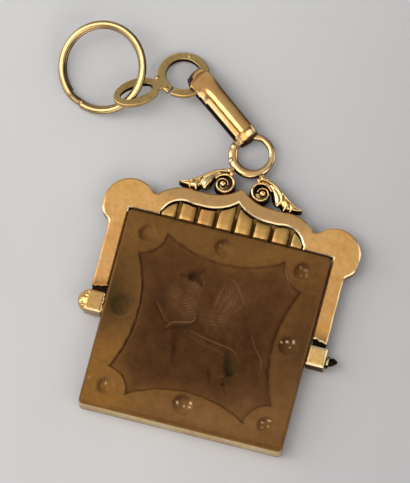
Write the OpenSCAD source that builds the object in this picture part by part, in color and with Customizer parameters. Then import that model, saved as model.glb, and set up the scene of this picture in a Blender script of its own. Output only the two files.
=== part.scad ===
// Swivel seal fob: an engraved stone that turns in a gold frame, hung on a short chain.
// Millimetres. X runs along the swivel pins, Y up the pendant and Z up from the table.
// The drawing's zero is the middle of the stone's underside.

/* [Stone] */
// Width of the stone along the swivel pins
stone_w = 25.8; // [24:0.1:26]
// Height of the stone across the swivel pins
stone_h = 25.6; // [24:0.1:25.8]
// Thickness of the stone
stone_t = 3.0; // [2.8:0.1:3.4]
// Radius of the stone's upright corners
stone_corner = 0.6; // [0.2:0.1:1.2]
// Width of the polished bevel along the stone's edges
stone_bevel = 0.25; // [0.1:0.05:0.4]
// Depth of the sunk cartouche
cartouche_depth = 0.3; // [0.1:0.05:0.5]
// Depth of the eight drilled pits
pit_depth = 0.45; // [0.2:0.05:0.7]

/* [Swivel] */
// Diameter of the swivel pins
pin_d = 1.2; // [1:0.1:1.4]
// Gap between a pin and the wall of its hole
pin_gap = 0.05; // [0.02:0.01:0.1]
// How far a pin runs into the stone
pin_reach = 2.4; // [1.5:0.1:3]
// Gap between the stone's sides and the frame
side_gap = 0.2; // [0.15:0.05:0.4]
// Width of a knuckle along the pin
knuckle_w = 2.3; // [2:0.1:2.6]
// Height of a knuckle above the table
knuckle_h = 2.4; // [2.2:0.1:2.8]

/* [Frame] */
// Height of the plate's underside above the table
plate_z = 1.0; // [0.8:0.1:1.2]
// Thickness of the plate
plate_t = 1.3; // [1:0.1:1.6]
// Width of the arms
arm_w = 1.9; // [1.5:0.1:2.4]
// Radius of the round ear lobes
ear_r = 3.3; // [3:0.1:3.5]
// Distance between the fluted strip's grooves
flute_pitch = 2.38; // [2.2:0.02:2.5]
// Width of the fluted strip's grooves
flute_gap = 0.45; // [0.3:0.05:0.7]

/* [Scrolls and bail] */
// Width of a scroll's widest stretch
scroll_w = 1.1; // [0.8:0.1:1.3]
// Outer radius of the spiral that ends a scroll
volute_r = 1.35; // [1.2:0.05:1.5]
// Outer diameter of the bail ring
bail_d = 5.9; // [5.6:0.1:6.2]
// Thickness of the bail ring's wire
bail_wire = 0.95; // [0.8:0.05:1]
// Height of the bail ring's middle above the table
bail_z = 1.3; // [1.15:0.05:1.4]

/* [Band link] */
// Length of the band link
band_len = 11.4; // [11.2:0.1:11.6]
// Width of the band at the bail ring
band_w_low = 2.7; // [2.4:0.1:3]
// Width of the band at the figure-eight link
band_w_high = 3.0; // [2.7:0.1:3.2]
// Height of the band link
band_h = 2.8; // [2.7:0.05:3]
// Thickness of the band's strip
band_strip = 0.5; // [0.4:0.05:0.6]

/* [Figure-eight link] */
// Thickness of the flat figure-eight link
eight_t = 0.6; // [0.5:0.05:0.7]
// Outer radius of its open ring
eight_ring_r = 3.25; // [3.1:0.05:3.3]
// Width of its flat wire
eight_w = 1.1; // [0.9:0.05:1.15]
// Width of the cut in the open ring
eight_cut = 0.35; // [0.2:0.05:0.5]

/* [Split ring] */
// Outer diameter of the split ring
split_d = 11.4; // [11.2:0.1:11.5]
// Width of the split ring's wire, across the ring
split_w = 1.0; // [0.9:0.05:1.05]
// Thickness of one turn of the wire
split_t = 0.58; // [0.5:0.02:0.62]

/* [Hidden] */
$fn = 64;
gold = [0.83, 0.62, 0.34];
pale_gold = [0.9, 0.72, 0.42];
agate = [0.4, 0.27, 0.14];

// Stone and swivel
axis_z = stone_t / 2;
half_w = stone_w / 2;
half_h = stone_h / 2;
floor_z = stone_t - cartouche_depth;
inner_x = half_w + side_gap;
bore_d = pin_d + 2 * pin_gap;
// The stone's far edge sweeps this radius as it turns, and the frame starts outside it
yoke_y = sqrt(half_h * half_h + axis_z * axis_z) + side_gap;

// Cartouche: its eight points, and how far each edge between them bows inwards
cartouche_x = 7.5;
cartouche_y = 10.6;
cartouche_side_x = 10.4;
cartouche_side_y = 7.6;
cartouche_mid_y = 0.25;
bow_ends = 2.1;
bow_sides = 1.8;
bow_corners = 0.8;

// Pits: x, y and radius at the surface
pits = [
  [-10.0, 10.2, 1.10], [-0.3, 10.7, 1.20], [9.9, 10.2, 1.15], [10.45, 0.55, 1.20],
  [10.25, -9.9, 1.10], [-0.25, -9.85, 1.45], [-10.1, -9.9, 1.10], [-10.8, 0.5, 1.40]
];

// Sunk figure, the outline of a winged beast that walks to the left
beast_depth = 0.25;
beast_outline = [
  [-4.4, 6.2], [-3.5, 5.7], [-3.2, 4.9], [-4.0, 3.7], [-4.7, 2.1], [-4.6, 0.8], [-5.2, 0.4], [-5.9, 0.9],
  [-6.3, 2.1], [-7.0, 1.9], [-6.6, 0.5], [-6.0, -0.6], [-4.6, -1.0], [-3.3, -1.6], [-3.0, -3.3], [-3.3, -5.0],
  [-2.2, -5.0], [-2.1, -3.5], [-1.7, -1.9], [0.2, -2.0], [2.0, -2.8], [2.9, -4.1], [3.6, -5.4], [3.7, -7.0],
  [5.0, -7.0], [4.6, -5.7], [5.2, -4.5], [5.7, -2.7], [5.6, -0.5], [6.0, 0.1], [6.8, -1.7], [7.5, -3.2],
  [8.2, -3.1], [7.6, -1.3], [6.7, 0.3], [5.9, 1.6], [5.1, 1.4], [4.4, 0.0], [2.8, 0.3], [0.8, 0.8],
  [-1.2, 2.7], [-1.9, 4.1], [-1.7, 5.2], [-2.0, 6.5], [-2.7, 7.2], [-3.7, 6.9]
];
// Feathers fan out from the wing's root: length and angle of each
wing_root = [-0.6, 1.6];
feathers = [[6.0, 80], [6.2, 67], [5.9, 54], [5.3, 41], [4.6, 28], [3.8, 15]];
feather_w = 0.64;
feather_depth = 0.15;

// Frame plate: the ogee line of its top edge and of its window
arm_x = inner_x + arm_w;
arm_low = 2.65;
ear_x = 13.05;
ear_y = 13.55;
ear_foot = [16.0, 11.75];
arm_shoulder_y = 10.9;
notch = [10.15, 15.6];
top_shoulder = [6.3, 12.35, 4.95];
top_valley = [4.2, 17.25];
top_peak = 18.95;
window_shoulder = [6.4, 12.85, 2.75];
window_valley = [4.0, 15.45];
window_peak = 17.0;
window_half = 9.15;
plate_top = plate_z + plate_t;

// Fluted strip
flute_half = 9.3;
flute_bed = 0.3;
flute_top = 0.78;
flute_crown_r = 2.6;

// Knuckles stand a little above the pins' line on the plate's side
knuckle_low = -1.0;
knuckle_high = 1.35;
knuckle_z = axis_z - knuckle_h / 2;
neck_inset = 0.25;
neck_t = 0.8;

// Scrolls: x, y and half width along the leaf, from its tip to its crest
leaf = [
  [7.75, 17.75, 0.10], [7.0, 17.95, 0.30], [6.2, 18.35, 0.42], [5.3, 18.85, 0.50],
  [4.4, 19.50, 0.50], [3.5, 20.10, 0.46], [2.6, 20.38, 0.42], [1.9, 20.5, 0.36]
];
volute = [2.55, 18.62];
volute_wire = 0.76;
volute_ball = [2.7, 18.5, 0.42];
// Small leaf points under the scroll: start, end and half width
petals = [[[6.4, 18.1], [5.75, 16.9], 0.45], [[5.1, 18.7], [4.75, 17.1], 0.42]];
scroll_z = 1.85;
scroll_rise = 0.9;
solder = [1.85, 20.95, 0.6];

// Bail ring
bail_y = 23.5;
bail_ring_r = (bail_d - bail_wire) / 2;
// The hole has worn upwards: place of its middle from the ring's middle, and its radius
bail_wear = [0.1, 0.27, 2.13];

// Screw pin's head
head_neck_d = 1.0;
head_d = 1.5;
head_len = 1.4;

// Band link: where its low end is, where it points, and how its high end is raised
band_foot = [-0.55, 25.17, 1.34];
band_heading = 143.7;
band_lift = 3.4;
band_dome = 0.6;
tongue_r = 2.7;
// Room around the rings that pass through it
link_gap = 0.12;

// Figure-eight link: place of its ring's middle, where its eye points, and its lean
eight_pos = [-10.8, 31.38, 1.61];
eight_heading = 219.8;
eight_lean = 23.7;
eight_uphill = 286.5;
eye_dist = 6.47;
eye_len = 6.0;
eye_w = 4.0;
slot_len = 4.2;
slot_w = 1.92;
neck_w = 1.7;
cut_angle = 32;

// Split ring: place of its middle and its lean
split_pos = [-20.66, 29.51, 2.4];
split_lean = 19.9;
split_uphill = 54.9;
split_end = 251;
split_jog = 40;
split_run = 320;
split_step = 10;
split_mid_r = (split_d - split_w) / 2;

// The split ring reaches this far to the left and to the far side of its middle
function reach(n) = (split_mid_r + split_w / 2) * sqrt(1 - n * n) + 0.7 * split_t * n;

// The part stands on its lowest point, with its box centred on the origin
box_x = [split_pos[0] - reach(sin(split_lean) * cos(split_uphill)), inner_x + knuckle_w + 0.05 + head_len];
box_y = [-half_h, split_pos[1] + reach(sin(split_lean) * sin(split_uphill))];
origin = [(box_x[0] + box_x[1]) / 2, (box_y[0] + box_y[1]) / 2, 0];

// Skin over a row of rings of points, all with the same number of points
module loft(rings) {
  n = len(rings[0]);
  m = len(rings);
  points = [for (r = rings) for (p = r) p];
  sides = [
    for (i = [0 : m - 2]) for (j = [0 : n - 1])
      let (a = i * n + j, b = i * n + (j + 1) % n)
      for (f = [[a, b + n, b], [a, a + n, b + n]]) f
  ];
  first = [for (j = [1 : n - 2]) [0, j, j + 1]];
  last = [for (j = [1 : n - 2]) [(m - 1) * n, (m - 1) * n + j + 1, (m - 1) * n + j]];
  polyhedron(points, concat(sides, first, last));
}

// Direction of a path at point i
function heading(path, i) =
  let (a = path[max(i - 1, 0)], b = path[min(i + 1, len(path) - 1)])
  atan2(b[1] - a[1], b[0] - a[0]);

// Oval ring of points across a flat path: side is half its width, rise half its height
function oval(x, y, z, dir, side, rise, n = 8) = [
  for (k = [0 : n - 1])
    let (t = 360 * (k + 0.5) / n)
    [x - sin(dir) * side * cos(t), y + cos(dir) * side * cos(t), z + rise * sin(t)]
];

// Tips a flat piece so that it rises towards the given direction
module lean(angle, uphill) {
  rotate(a = angle, v = [sin(uphill), -cos(uphill), 0]) children();
}

module mirrored() {
  children();
  mirror([1, 0, 0]) children();
}

// Cylinder along X, from x1 to x2 on the swivel's line
module along_pin(x1, x2, d) {
  translate([min(x1, x2), 0, axis_z]) rotate([0, 90, 0]) cylinder(h = abs(x2 - x1), d = d);
}

// Stone

module stone_slab() {
  linear_extrude(stone_t) {
    square([stone_w - 2 * stone_corner, stone_h], center = true);
    square([stone_w, stone_h - 2 * stone_corner], center = true);
    for (sx = [-1, 1], sy = [-1, 1])
      translate([sx * (half_w - stone_corner), sy * (half_h - stone_corner)]) circle(r = stone_corner);
  }
}

// Wedge that takes a 45 degree bevel off an edge along X at y = edge, top and bottom
module bevel_cutter(edge, length) {
  for (z = [0, stone_t])
    translate([0, edge, z]) rotate([45, 0, 0])
      cube([length, stone_bevel * sqrt(2), stone_bevel * sqrt(2)], center = true);
}

// Circle that bows the edge from a to b inwards by s; the edge runs anticlockwise
module bow(a, b, s) {
  half = norm(b - a) / 2;
  r = (half * half + s * s) / (2 * s);
  out = [b[1] - a[1], a[0] - b[0]] / (2 * half);
  translate((a + b) / 2 + out * (r - s)) circle(r = r);
}

module cartouche_2d() {
  p = [
    [cartouche_side_x, -cartouche_side_y + cartouche_mid_y], [cartouche_side_x, cartouche_side_y],
    [cartouche_x, cartouche_y + cartouche_mid_y], [-cartouche_x, cartouche_y + cartouche_mid_y],
    [-cartouche_side_x, cartouche_side_y], [-cartouche_side_x, -cartouche_side_y + cartouche_mid_y],
    [-cartouche_x, -cartouche_y + cartouche_mid_y], [cartouche_x, -cartouche_y + cartouche_mid_y]
  ];
  bows = [bow_sides, bow_corners, bow_ends, bow_corners, bow_sides, bow_corners, bow_ends, bow_corners];
  difference() {
    // A little larger than the points, so that only the bows bound it
    polygon(1.03 * p);
    for (i = [0 : 7]) bow(p[i], p[(i + 1) % 8], bows[i]);
  }
}

// Ball that sinks a round hollow of radius r and depth d into the face at height z
module hollow(x, y, z, r, d) {
  ball = (r * r + d * d) / (2 * d);
  translate([x, y, z + ball - d]) sphere(r = ball);
}

module beast() {
  translate([0, 0, floor_z - beast_depth]) linear_extrude(1) polygon(beast_outline);
  for (f = feathers)
    translate([wing_root[0], wing_root[1], floor_z - feather_depth]) rotate([0, 0, f[1]])
      linear_extrude(1) polygon([[1.4, 0], [3.2, -feather_w / 2], [f[0], 0], [3.2, feather_w / 2]]);
}

module stone() {
  color(agate) difference() {
    stone_slab();
    for (s = [-1, 1]) {
      bevel_cutter(s * half_h, stone_w + 2);
      rotate([0, 0, 90]) bevel_cutter(s * half_w, stone_h + 2);
      along_pin(s * (half_w - pin_reach - 0.2), s * (half_w + 1), bore_d);
    }
    translate([0, 0, floor_z]) linear_extrude(cartouche_depth + 1) cartouche_2d();
    for (p = pits) hollow(p[0], p[1], stone_t, p[2], pit_depth);
    beast();
  }
}

// Frame

// Solid under an ogee line: round shoulders, a valley each side and a peak in the middle
module ogee_2d(shoulder, valley, peak, low, half) {
  rise = peak - valley[1];
  r = (valley[0] * valley[0] + rise * rise) / (2 * rise);
  difference() {
    union() {
      translate([-valley[0], low]) square([2 * valley[0], peak - low]);
      intersection() {
        translate([-half, low]) square([2 * half, peak - low]);
        union() {
          for (s = [-1, 1]) translate([s * shoulder[0], shoulder[1]]) circle(r = shoulder[2]);
          translate([-shoulder[0], low]) square([2 * shoulder[0], valley[1] - low]);
        }
      }
    }
    for (s = [-1, 1]) translate([s * valley[0], valley[1] + r]) circle(r = r);
  }
}

module plate_2d() {
  difference() {
    union() {
      ogee_2d(top_shoulder, top_valley, top_peak, yoke_y, ear_x);
      mirrored() {
        translate([ear_x, ear_y]) circle(r = ear_r);
        polygon([
          [inner_x, arm_low], [arm_x, arm_low], [arm_x, arm_shoulder_y], ear_foot, [ear_x, ear_y],
          [notch[0], notch[1]], [notch[0] - 1, yoke_y], [inner_x, yoke_y]
        ]);
        polygon([notch, [notch[0] - 0.55, notch[1] + 0.3], [notch[0] - 1, yoke_y], [ear_x, ear_y],
          [notch[0] + 0.8, notch[1] + 0.42]]);
      }
    }
    ogee_2d(window_shoulder, window_valley, window_peak, yoke_y - 1, window_half);
    translate([-inner_x, 0]) square([2 * inner_x, yoke_y]);
  }
}

// Fluted strip let in behind the window: a bed with eight crowned bars on it
module fluted_strip() {
  intersection() {
    translate([0, 0, plate_z]) linear_extrude(plate_t) intersection() {
      ogee_2d(top_shoulder, top_valley, top_peak, yoke_y, ear_x);
      translate([-flute_half, yoke_y]) square([2 * flute_half, 20]);
    }
    union() {
      translate([-flute_half, yoke_y, plate_z]) cube([2 * flute_half, 6, flute_bed]);
      for (i = [-4 : 3])
        intersection() {
          translate([i * flute_pitch + flute_gap / 2, yoke_y, plate_z])
            cube([flute_pitch - flute_gap, 6, flute_top]);
          translate([(i + 0.5) * flute_pitch, yoke_y - 1, plate_z + flute_top - flute_crown_r])
            rotate([-90, 0, 0]) cylinder(h = 8, r = flute_crown_r);
        }
    }
  }
}

// Knuckle at an arm's end, with the low neck that it is soldered by
module knuckle(width) {
  translate([inner_x, knuckle_low, knuckle_z]) cube([width, knuckle_high - knuckle_low, knuckle_h]);
  translate([inner_x + neck_inset, knuckle_high - 0.5, plate_z])
    cube([arm_w - 2 * neck_inset, arm_low - knuckle_high + 1, neck_t]);
}

// Round end of the left knuckle, which closes the pin's hole
module knuckle_dome(width) {
  end_r = (knuckle_high - knuckle_low) / 2;
  translate([inner_x + width, (knuckle_high + knuckle_low) / 2, axis_z]) intersection() {
    sphere(r = end_r);
    translate([-end_r, -end_r, -knuckle_h / 2]) cube([2 * end_r, 2 * end_r, knuckle_h]);
  }
}

// Leaf with a volute at its inner end and small leaf points under it
module scroll() {
  rise = scroll_rise / 2;
  loft([for (i = [0 : len(leaf) - 1])
    let (w = leaf[i][2] * scroll_w)
    oval(leaf[i][0], leaf[i][1], scroll_z, heading(leaf, i), w / 1.1, min(w * 1.2, rise))]);
  translate([volute[0], volute[1], scroll_z]) rotate_extrude()
    translate([volute_r - volute_wire / 2, 0]) circle(d = volute_wire);
  translate([volute_ball[0], volute_ball[1], scroll_z]) sphere(r = volute_ball[2]);
  for (p = petals) {
    dir = atan2(p[1][1] - p[0][1], p[1][0] - p[0][0]);
    loft([for (f = [0, 0.3, 0.6, 0.85, 1])
      let (q = p[0] + (p[1] - p[0]) * f, w = p[2] * sqrt(1.05 - f * f))
      oval(q[0], q[1], scroll_z, dir, w, min(w, 0.4))]);
  }
  translate([solder[0], solder[1], bail_z + 0.35]) sphere(r = solder[2]);
}

// The bail ring, or with a gap the room that it needs
module bail_ring(gap = 0) {
  translate([0, bail_y, bail_z]) difference() {
    rotate_extrude() translate([bail_ring_r, 0]) circle(d = bail_wire + 2 * gap);
    translate([bail_wear[0], bail_wear[1], -1]) cylinder(h = 2, r = bail_wear[2] - gap);
  }
}

module frame() {
  color(gold) difference() {
    union() {
      translate([0, 0, plate_z]) linear_extrude(plate_t) plate_2d();
      fluted_strip();
      mirrored() scroll();
      bail_ring();
      knuckle(knuckle_w);
      mirror([1, 0, 0]) {
        knuckle(knuckle_w - 0.2);
        knuckle_dome(knuckle_w - 0.2);
        along_pin(half_w - pin_reach, inner_x + 0.5, pin_d);
      }
    }
    along_pin(inner_x - 1, inner_x + knuckle_w + 1, bore_d);
  }
}

// Screw pin: a plain shaft with a small pointed head
module screw_pin() {
  head_x = inner_x + knuckle_w + 0.05;
  color(pale_gold) translate([half_w - pin_reach, 0, axis_z]) rotate([0, 90, 0]) rotate_extrude()
    polygon([
      [0, 0], [pin_d / 2, 0], [pin_d / 2, head_x - half_w + pin_reach],
      [head_d / 2, head_x - half_w + pin_reach], [head_d / 2, head_x - half_w + pin_reach + 0.45],
      [head_neck_d / 2, head_x - half_w + pin_reach + 0.75], [0.2, head_x - half_w + pin_reach + head_len],
      [0, head_x - half_w + pin_reach + head_len]
    ]);
}

// Chain

// Side view of the band link, a long loop, in X and Z
module band_profile(inset) {
  r = band_h / 2 - inset;
  translate([band_h / 2, 0]) circle(r = r);
  translate([band_len - band_h / 2, 0]) circle(r = r);
  translate([band_h / 2, -r]) square([band_len - band_h, 2 * r]);
}

// Top view of the band: it widens towards its high end, which is a round tongue
module band_plan() {
  intersection() {
    polygon([
      [-1, -band_w_low / 2], [band_len, -band_w_high / 2], [band_len, band_w_high / 2], [-1, band_w_low / 2]
    ]);
    union() {
      translate([-1, -band_w_high]) square([band_len + 1 - tongue_r, 2 * band_w_high]);
      translate([band_len - tongue_r, 0]) circle(r = tongue_r);
    }
  }
}

module band_link() {
  dome_r = (band_w_high * band_w_high / 4 + band_dome * band_dome) / (2 * band_dome);
  color(pale_gold) difference() {
    translate(band_foot) rotate([0, -band_lift, band_heading]) difference() {
      intersection() {
        translate([0, band_w_high, 0]) rotate([90, 0, 0]) linear_extrude(2 * band_w_high) band_profile(0);
        translate([-1, 0, band_h / 2 - dome_r]) rotate([0, 90, 0]) cylinder(h = band_len + 2, r = dome_r);
        translate([0, 0, -band_h]) linear_extrude(2 * band_h) band_plan();
      }
      translate([0, band_w_high, 0]) rotate([90, 0, 0])
        linear_extrude(2 * band_w_high) band_profile(band_strip);
    }
    bail_ring(link_gap);
    eight_ring(link_gap);
  }
}

// Stadium shape along X
module stadium(length, width) {
  for (s = [-1, 1]) translate([s * (length - width) / 2, 0]) circle(d = width);
  square([length - width, width], center = true);
}

module eight_place() {
  translate(eight_pos) lean(eight_lean, eight_uphill) rotate([0, 0, eight_heading]) children();
}

// The open ring before it is cut, or with a gap the room that it needs
module eight_ring(gap = 0) {
  eight_place() translate([0, 0, -eight_t / 2 - gap]) linear_extrude(eight_t + 2 * gap) difference() {
    circle(r = eight_ring_r + gap);
    circle(r = eight_ring_r - eight_w - gap);
  }
}

module eight_link() {
  color(gold) eight_place() translate([0, 0, -eight_t / 2]) linear_extrude(eight_t) difference() {
    union() {
      circle(r = eight_ring_r);
      translate([eye_dist, 0]) stadium(eye_len, eye_w);
      translate([eight_ring_r - 0.4, -neck_w / 2]) square([1, neck_w]);
    }
    circle(r = eight_ring_r - eight_w);
    translate([eye_dist, 0]) stadium(slot_len, slot_w);
    rotate([0, 0, cut_angle]) translate([eight_ring_r - 2 * eight_w, -eight_cut / 2])
      square([3 * eight_w, eight_cut]);
  }
}

// Height of the wire's middle after a turn of t degrees: upper turn, jog down, lower turn
function split_drop(t) =
  let (f = min(max((t - split_run) / split_jog, 0), 1))
  split_t * 0.51 * (1 - 2 * f * f * (3 - 2 * f));

module split_ring() {
  turn = 2 * split_run + split_jog;
  color(pale_gold) translate(split_pos) lean(split_lean, split_uphill)
    loft([for (t = [0 : split_step : turn])
      let (a = split_end + t)
      oval(split_mid_r * cos(a), split_mid_r * sin(a), split_drop(t), a + 90,
        split_w / 2 / cos(22.5), split_t / 2 / cos(22.5))]);
}

translate(-origin) frame();
translate(-origin) stone();
translate(-origin) screw_pin();
translate(-origin) band_link();
translate(-origin) eight_link();
translate(-origin) split_ring();
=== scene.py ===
import math
from types import SimpleNamespace
import bpy
import bmesh
import numpy as np
from mathutils import Matrix, Vector
from mathutils.geometry import tessellate_polygon


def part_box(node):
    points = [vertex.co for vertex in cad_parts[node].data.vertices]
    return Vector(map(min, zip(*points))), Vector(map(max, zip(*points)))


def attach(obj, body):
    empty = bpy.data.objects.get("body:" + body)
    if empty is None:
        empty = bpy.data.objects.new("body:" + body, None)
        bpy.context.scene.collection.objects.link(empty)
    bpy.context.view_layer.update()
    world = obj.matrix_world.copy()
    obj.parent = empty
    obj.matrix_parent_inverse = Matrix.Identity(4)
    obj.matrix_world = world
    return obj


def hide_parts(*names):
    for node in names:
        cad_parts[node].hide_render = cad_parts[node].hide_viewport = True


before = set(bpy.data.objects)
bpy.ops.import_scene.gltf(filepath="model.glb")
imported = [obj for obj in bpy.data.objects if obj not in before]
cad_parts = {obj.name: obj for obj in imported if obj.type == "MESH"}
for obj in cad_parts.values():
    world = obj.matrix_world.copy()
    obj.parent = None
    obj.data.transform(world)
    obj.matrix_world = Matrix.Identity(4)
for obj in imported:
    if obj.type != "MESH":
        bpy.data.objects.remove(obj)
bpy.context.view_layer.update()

# Lengths are in millimetres from the middle of the stone's underside, X along the pins, Y up the pendant.
MM = 0.001
STONE_LOW, STONE_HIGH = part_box("stone")
SHIFT = np.array([(STONE_LOW[i] + STONE_HIGH[i]) / 2 / MM for i in (0, 1)] + [0.0])
SWIVEL_Z = 1.5


# Mesh tools

def metres(points):
    """Points in the drawing's millimetres as metres in the part's frame."""
    return (np.asarray(points, float).reshape(-1, 3) + SHIFT) * MM


def new_mesh(name, verts, faces):
    mesh = bpy.data.meshes.new(name)
    mesh.from_pydata([tuple(v) for v in metres(verts)], [], [tuple(int(i) for i in f) for f in faces])
    mesh.validate()
    mesh.update()
    return mesh


def new_object(name, data):
    obj = bpy.data.objects.new(name, data)
    bpy.context.scene.collection.objects.link(obj)
    return obj


def face_outwards(mesh):
    """Merges points that lie on each other and turns every face outwards."""
    bm = bmesh.new()
    bm.from_mesh(mesh)
    bmesh.ops.remove_doubles(bm, verts=bm.verts, dist=1e-7)
    bmesh.ops.recalc_face_normals(bm, faces=bm.faces)
    bm.to_mesh(mesh)
    bm.free()


def shade_smooth(obj, sharp=None):
    """Shades smooth, except over edges sharper than the given angle."""
    obj.data.polygons.foreach_set("use_smooth", [True] * len(obj.data.polygons))
    if sharp is not None:
        obj.data.set_sharp_from_angle(angle=math.radians(sharp))


def new_piece(name, verts, faces, material, sharp=None, body="frame", slot="gold", node="frame"):
    """An object from points in the drawing's millimetres, riding on a body and standing for a CAD node."""
    obj = new_object(name, new_mesh(name, verts, faces))
    face_outwards(obj.data)
    shade_smooth(obj, sharp)
    obj.data.materials.append(material)
    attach(obj, body)
    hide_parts(node)
    return obj


def paint(obj, material, where):
    """Gives another material to the faces that where(normal, centre) picks."""
    obj.data.materials.append(material)
    last = len(obj.data.materials) - 1
    for poly in obj.data.polygons:
        if where(poly.normal, poly.center / MM - Vector(SHIFT)):
            poly.material_index = last


def paint_edge_highlights(obj, material, facing):
    """Paints a paler metal, a painted highlight, on the slanting top edges that face the wanted way."""
    paint(obj, material, lambda n, at: 0.6 < n.z < 0.96 and facing(n, at))


def bake_modifiers(obj):
    """Turns the object's modifiers into its mesh."""
    shaped = obj.evaluated_get(bpy.context.evaluated_depsgraph_get())
    old, mesh = obj.data, bpy.data.meshes.new_from_object(shaped)
    obj.modifiers.clear()
    obj.data = mesh
    bpy.data.meshes.remove(old)


def relieve(obj, cutters):
    """Hollows a link underneath where others pass through it."""
    for verts, faces in cutters:
        cutter = new_object("cutter", new_mesh("cutter", verts, faces))
        face_outwards(cutter.data)
        mod = obj.modifiers.new("relief", "BOOLEAN")
        mod.operation, mod.solver, mod.object = "DIFFERENCE", "EXACT", cutter
        bake_modifiers(obj)
        bpy.data.objects.remove(cutter)
    shade_smooth(obj, 50)


def joined(parts):
    """Several meshes, given as (points, faces), as one."""
    verts, faces, base = [], [], 0
    for v, f in parts:
        verts.append(np.asarray(v, float).reshape(-1, 3))
        faces += [[i + base for i in face] for face in f]
        base += len(v)
    return np.vstack(verts), faces


def fused(name, parts, voxel, material, relax=2, node="frame"):
    """One skin round several overlapping closed meshes, its voxels in the drawing's millimetres."""
    obj = new_piece(name, *joined(parts), material, node=node)
    mod = obj.modifiers.new("skin", "REMESH")
    mod.mode, mod.voxel_size = "VOXEL", voxel * MM
    mod = obj.modifiers.new("relax", "SMOOTH")
    mod.factor, mod.iterations = 0.5, relax
    bake_modifiers(obj)
    shade_smooth(obj)
    return obj


def quads(numbers):
    """Faces between points that are numbered in a grid."""
    n = np.asarray(numbers)
    return np.stack([n[:-1, :-1], n[:-1, 1:], n[1:, 1:], n[1:, :-1]], -1).reshape(-1, 4).tolist()


def sweep(rings, closed=False):
    """Closed skin over rings of points; open ends are capped."""
    n = np.arange(len(rings) * len(rings[0])).reshape(len(rings), -1)
    ends = [] if closed else [n[0, ::-1], n[-1]]
    if closed:
        n = np.vstack([n, n[:1]])
    return np.vstack(rings), quads(np.hstack([n, n[:, :1]])) + ends


def tube(path, side, rise, n=28, power=1.0, closed=False):
    """Sweep of ovals along a path, or of rounder boxes where power is under 1.

    side and rise are half the width and the height, as numbers or as one number a point.
    """
    path = np.asarray(path, float)
    m = len(path)
    a = 2 * math.pi * (np.arange(n) + 0.5) / n
    ca, sa = (np.sign(w) * np.abs(w) ** power for w in (np.cos(a), np.sin(a)))
    rings = []
    for i, (half, high) in enumerate(zip(np.broadcast_to(side, m), np.broadcast_to(rise, m))):
        before, after = ((i - 1) % m, (i + 1) % m) if closed else (max(i - 1, 0), min(i + 1, m - 1))
        t = path[after] - path[before]
        t /= np.linalg.norm(t)
        s = np.cross((0, 0, 1), t)
        s /= np.linalg.norm(s)
        rings.append(path[i] + np.outer(ca * half, s) + np.outer(sa * high, np.cross(t, s)))
    return sweep(rings, closed)


def ball(centre, radii, n=20):
    """Round lump with radii along X, Y and Z."""
    around = 2 * math.pi * np.arange(n) / n
    rings = []
    for i in range(1, n // 2):
        e = math.pi * i / (n // 2) - math.pi / 2
        level = np.c_[np.cos(around), np.sin(around)] * math.cos(e)
        rings.append(np.c_[level, np.full(n, math.sin(e))])
    verts, faces = sweep(rings)
    for end, pole in zip((faces.pop(-2), faces.pop()), (len(verts), len(verts) + 1)):
        faces += [[end[j - 1], end[j], pole] for j in range(n)]
    return np.vstack([verts, [[0, 0, -1], [0, 0, 1]]]) * radii + centre, faces


def mirror_x(parts):
    return [(verts * [-1, 1, 1], [face[::-1] for face in faces]) for verts, faces in parts]


def smooth_curve(keys, count):
    """Points on a smooth curve through the keys, evenly spaced, with every number of a key carried along."""
    k = np.asarray(keys, float)
    n = len(k)
    t = np.linspace(0, n - 1, count * 4)
    i = np.clip(t.astype(int), 0, n - 2)
    f = (t - i)[:, None]
    p0, p1, p2, p3 = k[np.maximum(i - 1, 0)], k[i], k[i + 1], k[np.minimum(i + 2, n - 1)]
    bend = (2 * p0 - 5 * p1 + 4 * p2 - p3) * f ** 2 + (3 * p1 - p0 - 3 * p2 + p3) * f ** 3
    q = 0.5 * (2 * p1 + (p2 - p0) * f + bend)
    d = np.r_[0, np.cumsum(np.linalg.norm(np.diff(q[:, :2], axis=0), axis=1))]
    s = np.linspace(0, d[-1], count)
    return np.stack([np.interp(s, d, column) for column in q.T], 1)


def arc(cx, cy, r, start, end, n):
    a = np.radians(np.linspace(start, end, n))
    return np.stack([cx + r * np.cos(a), cy + r * np.sin(a)], 1)


def inset(outline, d):
    """The closed outline, anticlockwise, moved inwards by d."""
    p = np.asarray(outline, float)
    normals = []
    for edge in (p - np.roll(p, 1, 0), np.roll(p, -1, 0) - p):
        edge /= np.linalg.norm(edge, axis=1)[:, None]
        normals.append(np.stack([-edge[:, 1], edge[:, 0]], 1))
    m = normals[0] + normals[1]
    m /= np.linalg.norm(m, axis=1)[:, None]
    return p + m * (d / np.maximum((m * normals[0]).sum(1), 0.45))[:, None]


# A bevel with softened edges, from its side to the flat: how far in and how far down, as shares of its width.
SOFT_BEVEL = ((0, 0.78), (0.04, 0.66), (0.92, 0.04), (1.0, 0))


def slab(outline, z0, z1, top_bevel, low_bevel):
    """Flat plate from a closed anticlockwise outline, with narrow soft bevels."""
    rows = []
    for bevel, z, into, order in ((low_bevel, z0, 1, -1), (top_bevel, z1, -1, 1)):
        rows += [(bevel * d, z + into * bevel * h) for d, h in SOFT_BEVEL + ((1.35, 0),)][::order]
    rings = [np.c_[inset(outline, d), np.full(len(outline), z)] for d, z in rows]
    verts, faces = sweep(rings)
    for end, ring in zip((faces.pop(-2)[::-1], faces.pop()), (rings[0], rings[-1])):
        flat = tessellate_polygon([[Vector((x, y, 0)) for x, y, _ in ring]])
        faces += [[end[i] for i in triangle] for triangle in flat]
    return verts, faces


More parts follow.
